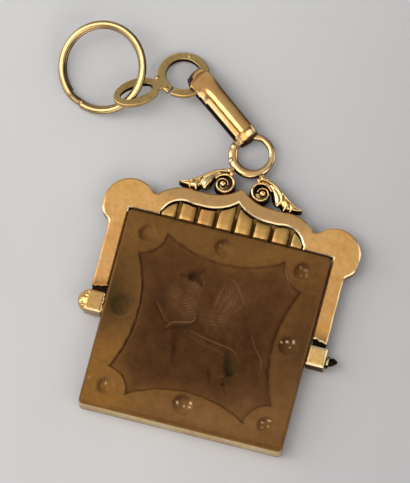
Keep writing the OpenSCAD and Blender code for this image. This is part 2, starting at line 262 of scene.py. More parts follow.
def block(x0, x1, y0, y1, z0, z1, bevel):
    """Box with bevelled edges and slightly rounded corners."""
    rows = [(0.3, z0), (0.08, z0), (0, z0 + 0.08)]
    rows += [(bevel * d, z1 - bevel * h) for d, h in SOFT_BEVEL + ((1.3, 0),)]
    rings = []
    for d, z in rows:
        c = max(0.12 - d, 0.03)
        left, right, low, high = x0 + d + c, x1 - d - c, y0 + d + c, y1 - d - c
        corners = ((right, low, -90), (right, high, 0), (left, high, 90), (left, low, 180))
        ring = np.vstack([arc(x, y, c, start, start + 90, 6) for x, y, start in corners])
        rings.append(np.c_[ring, np.full(len(ring), z)])
    return sweep(rings)


# Materials

class Shader:
    """Node tree of a material or of the world, with short ways to add to it."""

    def __init__(self, owner):
        owner.use_nodes = True
        self.tree = owner.node_tree

    def put(self, node, inputs):
        """Joins each named input to another node's output, or sets its value."""
        for key, value in inputs.items():
            socket = node.inputs[key]
            if isinstance(value, bpy.types.NodeSocket):
                self.tree.links.new(value, socket)
            elif socket.type == "RGBA":
                socket.default_value = (*value, 1)
            else:
                socket.default_value = value

    def add(self, kind, inputs, **settings):
        node = self.tree.nodes.new("ShaderNode" + kind)
        for key, value in settings.items():
            setattr(node, key, value)
        self.put(node, inputs)
        return node

    def surface(self, inputs):
        self.put(self.tree.nodes["Principled BSDF"], inputs)

    def place(self, kind="Object"):
        return self.add("TexCoord", {}).outputs[kind]

    def noise(self, place, scale, detail=4.0, rough=0.55, distortion=0.0):
        return self.add("TexNoise", {
            "Vector": place, "Scale": scale, "Detail": detail, "Roughness": rough,
            "Distortion": distortion}).outputs["Fac"]

    def ramp(self, source, stops):
        """Colour by a number: stops are (number, colour)."""
        node = self.add("ValToRGB", {"Fac": source})
        elements = node.color_ramp.elements
        while len(elements) < len(stops):
            elements.new(0.5)
        for element, (at, colour) in zip(elements, stops):
            element.position, element.color = at, (*colour, 1)
        return node.outputs["Color"]

    def mix(self, factor, a, b, kind="MIX"):
        return self.add("Mix", {0: factor, 6: a, 7: b}, data_type="RGBA", blend_type=kind).outputs[2]

    def span(self, source, start, end, first=0.0, last=1.0):
        """Turns start to end into first to last, and holds both beyond."""
        return self.add("MapRange", {0: source, 1: start, 2: end, 3: first, 4: last}).outputs[0]

    def math(self, operation, *values, clamp=False):
        return self.add("Math", dict(enumerate(values)), operation=operation, use_clamp=clamp).outputs[0]

    def axis(self, source, number):
        """One of a vector's three numbers."""
        return self.add("SeparateXYZ", {0: source}).outputs[number]

    def dot(self, source, direction):
        return self.add("VectorMath", {0: source, 1: direction}, operation="DOT_PRODUCT").outputs["Value"]

    def bump(self, height, strength, distance, more=None):
        inputs = {"Height": height, "Strength": strength, "Distance": distance}
        if more:
            inputs["Normal"] = more
        return self.add("Bump", inputs).outputs[0]


def srgb(r, g, b):
    """Linear colour of an 8-bit screen colour."""
    return tuple(((c / 255 + 0.055) / 1.055) ** 2.4 if c > 10 else c / 255 / 12.92 for c in (r, g, b))


def over_yoke(s, place):
    """1 on the plate's top between the ears, where it is browner, and 0 elsewhere."""
    wide = s.math("ABSOLUTE", s.math("SUBTRACT", s.axis(place, 0), SHIFT[0] * MM))
    high = s.span(s.axis(place, 1), (14.2 + SHIFT[1]) * MM, (16.2 + SHIFT[1]) * MM)
    return s.math("MULTIPLY", s.span(wide, 8.6 * MM, 11.4 * MM, 1, 0), high)


# browns and black for dirt and painted shade, and a painted shade for the sides that face one way
DIRT_AND_SHADE, HOLLOW_DIRT_AND_SHADE, PAINTED_SIDE_SHADE = srgb(74, 46, 16), srgb(30, 17, 6), srgb(48, 35, 20)


def gold(name, colour, tint, rough, scratch=0.02, dirt_and_shade_amount=0.62, mottle=0.5, upright=(0.18, 0.5),
         yoke=None, ends=None, recess=None, dim=None):
    """Worn gold: drifts between two shades, brown with dirt and painted shade on its upright sides, finely
    scratched.

    yoke and ends are the colours of the plate's top and of its arms' ends. Between the heights in recess,
    dirt and painted shade in the hollows fade out. dim is painted shade on one side: its direction, from and
    to which slope, how much.
    """
    mat = bpy.data.materials.new(name)
    s = Shader(mat)
    place, normal = s.place(), s.place("Normal")
    wide, fine = s.noise(place, 330, 4, 0.6), s.noise(place, 2100, 5, 0.6)
    shade = s.mix(s.span(wide, 0.36, 0.64), srgb(*colour), srgb(*tint))
    cloud = s.ramp(fine, [(0.3, (1 - 0.22 * mottle,) * 3), (0.62, (1.0, 1.0, 1.0))])
    shade = s.mix(1.0, shade, cloud, "MULTIPLY")
    if yoke:
        shade = s.mix(over_yoke(s, place), shade, srgb(*yoke))
    if ends:
        low = (2.6 + SHIFT[1]) * MM
        shade = s.mix(s.span(s.axis(place, 1), low, low + 1.1 * MM, 0.6, 0.0), shade, srgb(*ends))
    # dirt and painted shade on sides that stand upright, broken up by noise
    jagged = s.math("MULTIPLY_ADD", fine, 0.25, s.axis(normal, 2))
    shade = s.mix(s.span(jagged, *upright, dirt_and_shade_amount, 0.0), shade, DIRT_AND_SHADE)
    # dirt and painted shade, near black, low in the hollows
    if recess:
        low, high = recess
        shade = s.mix(s.span(s.axis(place, 2), low * MM, high * MM, 0.96, 0.0), shade, HOLLOW_DIRT_AND_SHADE)
    # painted shade on the sides that face one way
    if dim:
        x, y, start, end, most = dim
        shade = s.mix(s.span(s.dot(normal, (x, y, 0)), start, end, 0.0, most), shade, PAINTED_SIDE_SHADE)
    # scratches: noise drawn out along one direction
    drawn = s.add("Mapping", {"Vector": place, "Rotation": (0, 0, 0.6), "Scale": (500, 6500, 2500)})
    scratches = s.math("MULTIPLY_ADD", s.noise(drawn.outputs[0], 1.0, 2), 0.3, fine)
    s.surface({
        "Base Color": shade, "Metallic": 1.0,
        "Roughness": s.span(fine, 0.3, 0.7, rough * 0.85, rough * 1.25),
        "Normal": s.bump(wide, 0.5, 0.06 * MM, s.bump(scratches, 0.5, scratch * MM))})
    return mat


AWAY = (0.51, 0.86)  # the way that the shaded side of the rings and links faces
SATIN = gold("gold_satin", (230, 176, 108), (222, 168, 96), 0.33, yoke=(188, 146, 94))
ARMS = gold("gold_arms", (222, 168, 106), (218, 158, 86), 0.33, ends=(124, 76, 38))
BRIGHT = gold("gold_bright", (240, 196, 126), (222, 172, 100), 0.2, 0.015)
POLISHED = gold("gold_polished", (226, 182, 114), (220, 162, 100), 0.14, 0.006, 0.95, 0.2, (0.6, 0.9),
                dim=(*AWAY, 0.3, 0.7, 0.8))
WIRE = gold("gold_wire", (200, 168, 120), (180, 148, 102), 0.22, 0.008, 0.55, 0.3, (0.42, 0.85),
            dim=(0.97, 0.25, 0.08, 0.5, 0.95))
TILE = gold("gold_tile", (200, 162, 94), (206, 148, 84), 0.32, 0.01, 0.75)
CAST = gold("gold_cast", (254, 226, 166), (238, 190, 124), 0.18, 0.008, 0.95, 0.4, (0.3, 0.66),
            recess=(1.7, 2.34))
RING = gold("gold_ring", (252, 210, 154), (228, 178, 118), 0.17, 0.01, 0.95, 0.3, (0.4, 0.8),
            dim=(*AWAY, 0.3, 0.75, 0.8))
DULL = gold("gold_dull", (236, 200, 134), (222, 180, 114), 0.3, 0.015, 0.6, 0.5, (0.3, 0.7),
            dim=(*AWAY, 0.3, 0.7, 0.8))
# pale gold for painted highlights on edges and facets
EDGE_HIGHLIGHT = gold("gold_edge_highlight", (242, 222, 180), (228, 196, 146), 0.28, 0.01, 0.4, 0.5, (0.1, 0.35))
# pale gold for painted highlights on the band
BAND_HIGHLIGHT = gold("gold_band_highlight", (240, 208, 160), (226, 188, 138), 0.26, 0.01, 0.4, 0.4, (0.1, 0.35))
KNUCKLE_R = gold("gold_right_knuckle", (250, 202, 128), (242, 188, 112), 0.24, 0.03, 0.5, 0.6)
KNUCKLE = gold("gold_knuckle", (232, 186, 118), (222, 172, 102), 0.2, 0.03, 0.5, 0.6)
# darker gold for painted shade
SHADED_GOLD = gold("gold_painted_shade", (118, 88, 42), (84, 58, 24), 0.42, 0.03, 0.85, 1.0)
# near-black gold for painted shade in gaps and under edges
BLACK_SHADE = gold("gold_painted_black_shade", (46, 32, 18), (22, 14, 8), 0.5, 0.05, 0.9, 1.0)
SCREW = gold("screw_head_dark", (50, 38, 22), (28, 20, 10), 0.2, 0.02, 0.8, 1.0)


TOP_VALUES = ("tone", "pale", "green", "dull")  # what the stone's own code sets at each of its points


def agate():
    """Polished agate: brown middle, yellow-olive border."""
    mat = bpy.data.materials.new("agate")
    s = Shader(mat)
    place = s.place()
    tone, pale, green, dull = (s.add("Attribute", {}, attribute_name=n).outputs["Fac"] for n in TOP_VALUES)
    fleck, cloud = s.noise(place, 1300, 4, 0.6), s.noise(place, 170, 6, 0.62, 0.8)
    tone = s.math("MULTIPLY_ADD", cloud, 0.3, s.math("SUBTRACT", tone, 0.15), clamp=True)
    shade = s.ramp(tone, [
        (0.0, srgb(30, 17, 2)), (0.2, srgb(68, 40, 16)), (0.4, srgb(88, 56, 27)), (0.62, srgb(116, 80, 39)),
        (0.8, srgb(136, 94, 42)), (0.88, srgb(158, 113, 58)), (1.0, srgb(190, 174, 134))])
    specks = s.ramp(fleck, [(0.32, (0.84, 0.84, 0.84)), (0.62, (1.06, 1.05, 1.02))])
    shade = s.mix(1.0, shade, specks, "MULTIPLY")
    shade = s.mix(green, shade, srgb(58, 43, 15))
    shade = s.mix(s.span(pale, 0, 0.6, 0, 0.6), shade, srgb(160, 120, 84))
    # the palest, near white, is mostly the painted glints
    shade = s.mix(s.span(pale, 0.6, 1, 0, 0.9), shade, srgb(240, 218, 180))
    s.surface({
        "Base Color": shade, "Roughness": s.span(dull, 0, 1, 0.3, 0.62),
        "Normal": s.bump(fleck, 0.4, 0.03 * MM), "IOR": 1.54, "Specular IOR Level": 0.06,
        "Subsurface Weight": 0.15, "Subsurface Radius": (1.0, 0.55, 0.25), "Subsurface Scale": 0.5 * MM})
    return mat


AGATE = agate()


# The stone

HALF_W, HALF_H, THICK = 12.9, 12.8, 3.0
CORNER, BEVEL = 0.6, 0.25
CELL = 0.092  # between two points of the stone's top
# x, y, radius, depth
PITS = [
    (-10, 10.2, 1.1, 0.22), (-0.3, 10.7, 1.2, 0.34), (9.9, 10.2, 1.15, 0.3), (10.45, 0.55, 1.2, 0.32),
    (10.25, -9.9, 1.1, 0.34), (-0.25, -9.85, 1.35, 0.42), (-10.1, -9.9, 1.1, 0.3), (-10.8, 0.5, 1.4, 0.36)]
# the cartouche's corners, anticlockwise, and how far its edges from the first four bow inwards
CORNERS = [
    (10.4, 7.6), (7.5, 10.85), (-7.5, 10.85), (-10.4, 7.6), (-10.4, -7.35), (-7.5, -10.35), (7.5, -10.35),
    (10.4, -7.35)]
BOWS = (0.8, 2.1, 0.8, 1.8)
# hollows of the sunk figure: from x, y to x, y, radius at both ends, depth, change of tone
BEAST = [
    (-2.9, 6.4, -3.1, 6.2, 0.8, 0.7, 0.26, -0.24), (-3.5, 6.4, -4.4, 6.2, 0.55, 0.35, 0.14, -0.12),
    (-2.2, 5.9, -1.9, 5.7, 0.45, 0.4, 0.16, -0.16), (-2.3, 7, -1.9, 7.6, 0.32, 0.18, 0.1, -0.05),
    (-2.6, 5, -2.8, 3, 0.85, 1.2, 0.16, 0.03), (-2.9, 2.4, -2.8, 1.2, 1.3, 1.2, 0.15, 0.04),
    (-1, 0.6, 2.6, -0.3, 1, 1.1, 0.15, 0.02), (3.2, -0.6, 4.2, -1.6, 1.2, 1.2, 0.16, 0),
    (3.7, -2.7, 4.2, -4.3, 0.75, 0.7, 0.34, -0.2), (4.3, -4.6, 3.9, -6, 0.55, 0.35, 0.16, -0.06),
    (3.9, -6.1, 4.5, -7, 0.4, 0.35, 0.1, -0.03), (2.4, -3.4, 1.9, -5, 0.6, 0.45, 0.1, -0.02),
    (1.9, -5, 2.3, -6.3, 0.42, 0.35, 0.09, -0.02), (-3.3, -0.8, -3, -2.9, 0.95, 0.6, 0.13, -0.08),
    (-3, -2.9, -2.8, -4.7, 0.5, 0.4, 0.1, -0.04), (-4.9, -0.2, -6.6, 1.9, 0.45, 0.35, 0.11, -0.02),
    (0, 2, 0.6, 7, 0.55, 0.35, 0.1, 0.02), (0.5, 2, 1.7, 6.8, 0.55, 0.35, 0.1, 0.02),
    (0.9, 1.9, 2.6, 6, 0.55, 0.35, 0.1, 0.03), (1.2, 1.8, 3.4, 5.2, 0.5, 0.35, 0.1, 0.03),
    (1.5, 1.5, 3.9, 4.3, 0.5, 0.35, 0.1, 0.03), (1.8, 1.2, 4.2, 3.4, 0.45, 0.32, 0.09, 0.02),
    (-0.1, 1.6, 1.6, 2.4, 0.9, 0.9, 0.11, 0.03), (5.3, -0.6, 5.8, 0.7, 0.4, 0.3, 0.09, 0)]
# graver lines: points, half width, depth, how pale or, under 0, how dark
CUTS = [
    ([(-4.7, -0.8), (-4.4, -0.25), (-3.9, 0.12), (-2, 0.6), (-1.6, 1.05), (-1.55, 1.8)], 0.13, 0.07, 0.55),
    ([(-5, -1.5), (-4.45, -0.9), (-3.8, -0.5), (-2.4, -0.1), (-1.5, 0.6), (-1.2, 1.5)], 0.45, 0.05, -0.1),
    ([(-6.8, 2.15), (-6, 1.3), (-5.6, 0.75), (-4.95, 0.05)], 0.15, 0.06, 0.24),
    ([(-1.7, -0.5), (-0.15, -0.9), (2, -1.25), (3.5, -1.45), (4.5, -2.05), (5.1, -3)], 0.12, 0.07, 0.42),
    ([(-1.8, -1.1), (0.3, -1.8), (2.4, -2.2), (3.1, -2.7), (3.2, -3.6)], 0.6, 0.04, 0.07),
    ([(-1.8, -1.1), (0.3, -1.8), (2.4, -2.2), (3.1, -2.7), (3.2, -3.6)], 0.6, 0.04, -0.02),
    ([(1.5, 7.1), (2.2, 6.8), (2.95, 5.85), (3.9, 4.4)], 0.14, 0.1, 0.26),
    ([(-2.2, 6.8), (-1.55, 5.75), (-1.8, 4.3), (-1.55, 2.3)], 0.14, 0.07, 0.14),
    ([(-3.3, 5), (-3.7, 3.8), (-4, 2.5)], 0.16, 0.06, -0.1),
    ([(5.75, 0.7), (6.7, -0.8), (7.6, -1.9), (7.9, -3.1), (7.75, -3.9)], 0.18, 0.1, 0.22),
    ([(-6.1, -2.8), (-5.5, -4.1)], 0.2, 0.06, 0.1), ([(3.15, -5.25), (3.65, -5.1)], 0.13, 0.08, 0.5),
    ([(-2.3, -0.72), (-2.2, -0.72)], 0.17, 0.14, 0.62), ([(0, 0.12), (0.25, -0.05)], 0.14, 0.12, 0.45),
    ([(0.4, -0.27), (0.55, -0.34)], 0.14, 0.12, 0.5), ([(0.9, -0.45), (1.15, -0.42)], 0.13, 0.12, 0.42),
    ([(1.6, -0.55), (1.75, -0.6)], 0.13, 0.12, 0.48), ([(0.1, -0.5), (1.5, -0.95)], 0.12, 0.07, -0.2),
    ([(0.3, 2.5), (0.6, 4.6), (1.1, 6.4)], 0.13, 0.05, 0.24),
    ([(0.8, 2.4), (1.5, 4.4), (2.1, 5.7)], 0.13, 0.05, 0.24),
    ([(1.2, 2.2), (2.2, 3.8), (3, 4.9)], 0.13, 0.05, 0.22),
    ([(1.5, 1.9), (2.8, 3.1), (3.7, 3.8)], 0.13, 0.05, 0.2), ([(-0.2, 2.5), (1.4, 2.85)], 0.13, 0.06, 0.12),
    ([(0, 1.9), (1.9, 2.3)], 0.13, 0.06, 0.12), ([(0.2, 1.3), (2.2, 1.7)], 0.13, 0.06, 0.14),
    ([(0.3, 0.8), (2.3, 1.05)], 0.13, 0.06, 0.12), ([(-3.6, 2.3), (-2.2, 2.7)], 0.11, 0.05, 0.1),
    ([(-3.7, 1.8), (-2, 2.1)], 0.11, 0.05, 0.1), ([(-3.8, 1.3), (-2, 1.55)], 0.11, 0.05, 0.12),
    ([(-3.4, 3.1), (-2.3, 3.4)], 0.11, 0.05, 0.08), ([(-9.35, 4.6), (-9, 2.5), (-8.7, 0.6)], 0.14, 0.08, 0.3),
    ([(-8.5, 1.2), (-8.35, 0), (-8.7, -1.3)], 0.13, 0.08, 0.34),
    ([(-10.25, -7), (-9.3, -7.5), (-8.35, -8.6), (-7.6, -10.3)], 0.13, 0.06, 0.26),
    ([(-2.9, 9), (-2.5, 8.95)], 0.15, 0.1, 0.5), ([(-1.3, 9), (-0.6, 8.9)], 0.12, 0.06, 0.3),
    ([(8.6, 1.6), (8.5, -1), (8.9, -3.6)], 0.15, 0.05, 0.1),
    ([(9.7, 7.2), (8.9, 7.9), (8.2, 8.9), (7.8, 9.9)], 0.13, 0.05, 0.2)]
# fine hatching: x, y, reach along X and Y, direction of the strokes in degrees
HATCHING = [
    (-2.9, 2.6, 1.3, 1.7, 24), (-3, 5, 0.8, 1, 60), (1, 1.6, 2, 1, 4), (2.2, 4.6, 1.4, 1.7, 118),
    (-4.6, 3.4, 0.9, 1.3, 50)]
# painted glints, small raised facets in the pits painted bright: x, y, radius along X and along Y
PAINTED_GLINTS = [
    (-0.8, 11, 0.1, 0.14), (9.5, 10.7, 0.1, 0.18), (10.25, 10.5, 0.22, 0.13), (10.45, 9.9, 0.12, 0.2),
    (9.85, 9.75, 0.12, 0.1), (9.55, 0.85, 0.13, 0.16), (10.2, 1.1, 0.2, 0.16), (11, 1.25, 0.16, 0.22),
    (10.7, 0.5, 0.1, 0.1), (-1, -9.75, 0.16, 0.24), (-0.1, -9.95, 0.13, 0.15), (0.62, -9.45, 0.2, 0.24),
    (0.6, -9.95, 0.22, 0.15), (-10.15, -9.55, 0.1, 0.16), (-9.8, -10.2, 0.12, 0.08),
    (10.55, -9.2, 0.24, 0.12), (9.75, -9.6, 0.16, 0.12), (9.9, -10.2, 0.13, 0.09), (10.6, -9.9, 0.1, 0.13),
    (-12.3, -9.4, 0.12, 0.1)]
# soft spots of tone: strength, x, y, reach along X and Y
BORDER_SPOTS = [
    (0.26, -10.5, -9.5, 5, 7), (0.08, 6, -11, 8, 4), (0.1, -11, -9, 3, 4), (0.1, -12, 7.6, 1.8, 3.5),
    (-0.13, 11.5, 2, 3, 8), (0.03, -9, 11, 6, 3)]
MIDDLE_SPOTS = [(0.12, 6.5, -7.5, 2, 3), (0.08, -8, -5, 3, 5)]
MILK_SPOTS = [(0.2, 2, -11, 6.5, 1.6), (0.14, 8.5, -8.5, 3, 2.5), (0.12, 12.2, -6, 1.6, 6)]
GREEN_SPOTS = [
    (0.7, -12.6, 2, 2.4, 4.5), (0.5, -10.8, 0.2, 1.5, 1.5), (0.5, 12.6, 0.2, 2, 3.2),
    (0.6, 4, -3.6, 0.9, 1.6)]
# share of the bevel's width outwards, height and tone of each ring of points down the stone's side
SIDE_LEVELS = [
    (0.12, THICK - 0.01, 0.5), (0.9, THICK - 0.19, 0.78), (1, THICK - 0.28, 1.02), (1, 1.9, 0.95),
    (1, 1.1, 0.95), (1, 0.25, 0.9), (0.4, 0.04, 0.7), (0, 0, 0.6)]
BACK_RINGS = 9


def step(x, a, b):
    """0 up to a, 1 from b, and a smooth rise between."""
    t = np.clip((x - a) / (b - a), 0, 1)
    return t * t * (3 - 2 * t)


def near(value, middle, reach):
    return np.exp(-((value - middle) / reach) ** 2)


def spots(x, y, rows):
    return sum(k * near(x, cx, rx) * near(y, cy, ry) for k, cx, cy, rx, ry in rows)


def in_cartouche(x, y):
    """Distance inside the cartouche's edge, negative outside."""
    d = np.full(x.shape, 99.0)
    for k, (x0, y0) in enumerate(CORNERS):
        x1, y1 = CORNERS[(k + 1) % len(CORNERS)]
        s = BOWS[k % len(BOWS)]
        half = math.hypot(x1 - x0, y1 - y0) / 2
        r = (half * half + s * s) / (2 * s)
        ox, oy = (y1 - y0) / (2 * half), (x0 - x1) / (2 * half)
        cx, cy = (x0 + x1) / 2 + ox * (r - s), (y0 + y1) / 2 + oy * (r - s)
        d = np.minimum(d, np.hypot(x - cx, y - cy) - r)
        d = np.minimum(d, -((x - x0) * ox + (y - y0) * oy))
    return d


def near_segment(x, y, x0, y0, x1, y1, r0, r1):
    """Distance from the segment as a share of the radius there."""
    dx, dy = x1 - x0, y1 - y0
    t = np.clip(((x - x0) * dx + (y - y0) * dy) / (dx * dx + dy * dy + 1e-12), 0, 1)
    return np.hypot(x - x0 - t * dx, y - y0 - t * dy) / (r0 + (r1 - r0) * t)


def stone_grid():
    """Points over the stone's top inside its bevel, the outermost pulled in to round the corners."""
    halves = np.array([HALF_W, HALF_H]) - BEVEL
    lines = [np.linspace(-half, half, int(2 * (half + BEVEL) / CELL)) for half in halves]
    at = np.stack(np.meshgrid(*lines, indexing="ij"))
    straight = (halves - CORNER + BEVEL * 0.4)[:, None, None]
    over = np.maximum(np.abs(at) - straight, 0)
    far = np.maximum(np.hypot(*over), 1e-9)
    pull = np.where(far > 1e-9, over.max(0) / far, 1)
    x, y = np.sign(at) * (np.minimum(np.abs(at), straight) + over * pull)
    return SimpleNamespace(x=x, y=y)


def sink_cartouche(top):
    """The sunk middle and the tones round it: 0 is dark brown and 1 is pale."""
    x, y = top.x, top.y
    inside = in_cartouche(x, y) + 0.05 * np.sin(2.1 * x + 1.3 * y) * np.sin(1.7 * y - 0.9 * x)
    top.sunk = step(inside, -0.06, 0.12)
    top.floor = 0.34 - 0.10 * step(inside, 0.2, 2.4)
    top.z = THICK - top.sunk * top.floor
    top.dull = step(inside, -0.1, 0.2)
    border = 0.52 + spots(x, y, BORDER_SPOTS) + 0.05 * step(y, 8, 11) - 0.12 * step(-y, 12.05, 12.5)
    border = np.minimum(border, 0.75)
    middle = 0.22 + spots(x, y, MIDDLE_SPOTS) + 0.13 * step(y, 0, 9) + 0.07 * step(-y, 4, 9)
    middle += 0.035 * np.sin(1.9 * x + 0.7 * np.sin(1.3 * y)) * np.sin(1.6 * y + 0.9 * np.sin(1.1 * x + 1))
    middle += 0.02 * np.sin(4.3 * x + 1.7 * np.sin(2.9 * y)) * np.sin(3.7 * y + 1.3 * np.sin(3.1 * x))
    top.tone = border + (middle - border) * (0.45 * step(inside, -0.1, 0.15) + 0.55 * step(inside, 0.1, 1.8))
    top.pale = spots(x, y, MILK_SPOTS) * (0.8 + 0.2 * np.sin(1.3 * x + y) * np.sin(0.8 * x - 1.9 * y))
    top.green = spots(x, y, GREEN_SPOTS) + 0.12 * step(y, 11.2, 12.8) * step(8 - x, 0, 6)
    # the sunk edge is a dark line of painted shade, deepest on the left and the right, broken here and there
    strong = np.maximum(spots(x, y, [(1, -8.9, -2, 2.5, 7)]), spots(x, y, [(0.8, 9, 1, 2, 8)]))
    strong = np.maximum(0.34 + 0.66 * strong, spots(x, y, [(0.85, -4, 9.5, 4, 2)]))
    strong *= 0.8 + 0.3 * np.sin(2.7 * x + 1.9 * y) * np.sin(1.7 * x - 2.3 * y)
    top.tone -= 0.4 * strong * near(inside, 0.03, 0.17)
    top.tone -= spots(x, y, [(0.14, 9.2, -1, 2, 7)]) * near(inside, 0.2, 0.35)
    # a painted highlight just inside the left edge
    top.pale = np.maximum(top.pale, spots(x, y, [(0.16, -8.6, -1, 2.5, 4.5)]) * near(inside, 0.32, 0.09))


def carve_beast(top):
    for x0, y0, x1, y1, r0, r1, depth, shade in BEAST:
        d = near_segment(top.x, top.y, x0, y0, x1, y1, r0, r1)
        soft = np.clip(1 - d * d, 0, 1) ** 1.6
        top.z -= top.sunk * depth * soft * np.where(top.z < THICK - top.floor - 0.2, 0.45, 1.0)
        top.tone += shade * np.clip(1.25 - d, 0, 1)


def cut_lines(top):
    """Graver lines, each swelling in its middle and fading at its ends."""
    groove, dark = np.zeros(top.x.shape), np.zeros(top.x.shape)
    for points, half, depth, shade in CUTS:
        line = smooth_curve(points, 6 * len(points)) if len(points) > 2 else np.array(points)
        m = len(line) - 1
        for q in range(m):
            w0, w1 = (0.55 + 0.55 * math.sin(math.pi * min(max(e / m, 0.08), 0.92)) for e in (q, q + 1))
            d = near_segment(top.x, top.y, *line[q], *line[q + 1], half * w0 * 0.6, half * w1 * 0.6)
            soft = np.clip(1 - d * d, 0, 1) ** 1.5 * min(w0, 1)
            groove = np.maximum(groove, depth * soft)
            top.pale = np.maximum(top.pale, shade * soft)
            dark = np.minimum(dark, shade * soft)
    top.z -= groove * 0.22
    top.tone += dark


def hatch(top):
    pitch = 0.42
    for cx, cy, rx, ry, degrees in HATCHING:
        way = math.radians(degrees)
        across = top.y * math.cos(way) - top.x * math.sin(way)
        along = top.x * math.cos(way) + top.y * math.sin(way)
        lines = np.sin(2 * math.pi * across / pitch + 1.2 * np.sin(1.7 * along))
        lines *= 0.55 + 0.45 * np.sin(5.3 * along + 3 * across)
        there = spots(top.x, top.y, [(1, cx, cy, rx, ry)])
        top.pale = np.maximum(top.pale, 0.2 * there * np.clip(lines, 0, 1) + 0.08 * there)
        top.z -= 0.012 * there * lines


def drill_pits(top):
    """Round shallow pits: painted shade on the side towards the light and painted highlight opposite, with a
    broken rim.
    """
    for px, py, radius, deep in PITS:
        x, y = top.x - px, top.y - py
        d, around = np.hypot(x, y) / radius, np.arctan2(y, x)
        drill = (radius * radius + deep * deep) / (2 * deep)
        depth = np.sqrt(np.maximum(drill ** 2 - (d * radius) ** 2, 0)) - (drill - deep)
        depth = np.where(d < 1, depth, 0)
        depth += 0.05 * np.sin(5.1 * x + 1) * np.sin(4.3 * y + 2) * step(1 - d, 0.05, 0.4)
        top.z = np.where(d < 1, np.minimum(top.z, THICK - depth), top.z)
        side = np.cos(around - math.radians(150 + 25 * math.sin(3 * px)))
        # painted shade inside on the side towards the light, and a painted highlight outside the rim opposite
        top.tone -= 0.22 * near(d, 0.74, 0.26) * np.clip(0.45 + 0.75 * side, 0, 1.2)
        top.tone -= 0.05 * np.where(d < 0.95, side * d, 0)
        top.tone -= 0.10 * near(d, 0.97, 0.08) * (0.5 + 0.5 * np.sin(2.2 * px + 3 * around))
        top.pale = np.maximum(top.pale, 0.13 * near(d, 1.08, 0.08) * np.clip(-side, 0, 1))
        top.dull = np.maximum(top.dull, step(radius - np.hypot(x, y), -0.05, 0.15))


def paint_glints(top):
    for px, py, rx, ry in PAINTED_GLINTS:
        x, y = top.x - px, top.y - py
        on = np.clip(1.5 - np.maximum(np.abs(x + 0.25 * y) / rx, np.abs(y) / ry), 0, 1)
        top.z += 0.04 * on
        # a painted highlight on each glint
        top.pale = np.maximum(top.pale, on * (0.55 if py > 8 else 0.85))


def even_out(top):
    """A slight wave over the whole top, and nothing higher or paler than it should be."""
    x, y = top.x, top.y
    wave = 0.02 * np.sin(0.5 * x + 0.7 * y) * np.sin(0.42 * y - 0.3 * x + 1)
    top.z += wave * step(HALF_W - np.abs(x), 0.3, 1.5) * step(HALF_H - np.abs(y), 0.3, 1.5)
    top.z = np.minimum(top.z, THICK)
    top.tone = np.minimum(top.tone, 0.78)
    top.green = np.clip(top.green, 0, 0.85)


def with_sides(top):
    """The stone's points and faces with its bevels, sides and back, and the tones of the points added."""
    number = np.arange(top.x.size).reshape(top.x.shape)
    verts = np.stack([top.x, top.y, top.z], -1).reshape(-1, 3)
    loop = np.r_[number[:, 0], number[-1, 1:], number[-2::-1, -1], number[0, -2:0:-1]]
    rim = verts[loop, :2]
    out = rim * [HALF_W / (HALF_W - BEVEL), HALF_H / (HALF_H - BEVEL)]
    rings = [np.c_[rim + (out - rim) * f, np.full(len(rim), z)] for f, z, _ in SIDE_LEVELS]
    # the sides are palest along the bottom
    low = np.clip((-rim[:, 1] - (HALF_H - BEVEL - 0.9)) / 0.6, 0, 1)
    tones = [0.58 + (tone - 0.58) * low for _, _, tone in SIDE_LEVELS]
    # the back is flat and polished, with soft bands across it
    for k in range(BACK_RINGS):
        x, y = (rim * (1 - max(k, 0.2) / BACK_RINGS)).T
        rings.append(np.c_[x, y, np.zeros(len(rim))])
        tones.append(0.5 + 0.08 * np.sin(0.8 * x + 0.5 * y + 1.3 * np.sin(0.35 * y - 0.2 * x)))
    added = len(verts) + np.arange(len(rings) * len(rim)).reshape(len(rings), -1)
    rows = np.vstack([loop, added])
    rows = np.hstack([rows, rows[:, :1]])
    verts = np.vstack([verts] + rings + [[[0, 0, 0]]])
    faces = quads(number) + quads(rows) + [[a, len(verts) - 1, b] for a, b in zip(rows[-1], rows[-1, 1:])]
    return verts, faces, np.r_[np.concatenate(tones), 0.6]


def make_stone():
    top = stone_grid()
    for work in (sink_cartouche, carve_beast, cut_lines, hatch, drill_pits, paint_glints, even_out):
        work(top)
    verts, faces, side_tones = with_sides(top)
    obj = new_piece("stone_slab", verts, faces, AGATE, 50, "stone", "agate", "stone")
    for name in TOP_VALUES:
        rest = side_tones if name == "tone" else np.zeros(len(side_tones))
        values = np.r_[getattr(top, name).ravel(), rest].astype(np.float32)
        obj.data.attributes.new(name, "FLOAT", "POINT").data.foreach_set("value", values)


make_stone()


# The frame's plate

PLATE_LOW, PLATE_TOP = 1.0, 2.3
YOKE = 13.09  # lower edge of the yoke
INNER_X, ARM_X = 13.06, 15.0
EAR = (13.05, 13.55, 3.3)  # centre and radius of the lobe at the right
# lines of the ogee: the shoulder's centre and radius, the valley's place, the height of the peak
OUTSIDE = ((6.3, 12.35, 4.95), (4.2, 17.25), 18.95)
WINDOW = ((6.4, 12.85, 2.75), (4.0, 15.45), 17.0)


def ogee(xs, shoulder, valley, peak):
    """Height of the ogee line at each x of 0 or more."""
    sx, sy, sr = shoulder
    rise = peak - valley[1]
    r = (valley[0] ** 2 + rise ** 2) / (2 * rise)
    dip = valley[1] + r - np.sqrt(np.maximum(r * r - (xs - valley[0]) ** 2, 0))
    dome = sy + np.sqrt(np.maximum(sr * sr - (xs - sx) ** 2, 0))
    flat = np.where(xs < sx, np.maximum(dome, valley[1]), dome)
    return np.where(xs < valley[0], dip, flat)


def window_y(x):
    """Upper edge of the window at each x."""
    x = np.abs(np.asarray(x, float))
    return np.where(x < 9.14, ogee(x, *WINDOW), 13.2)


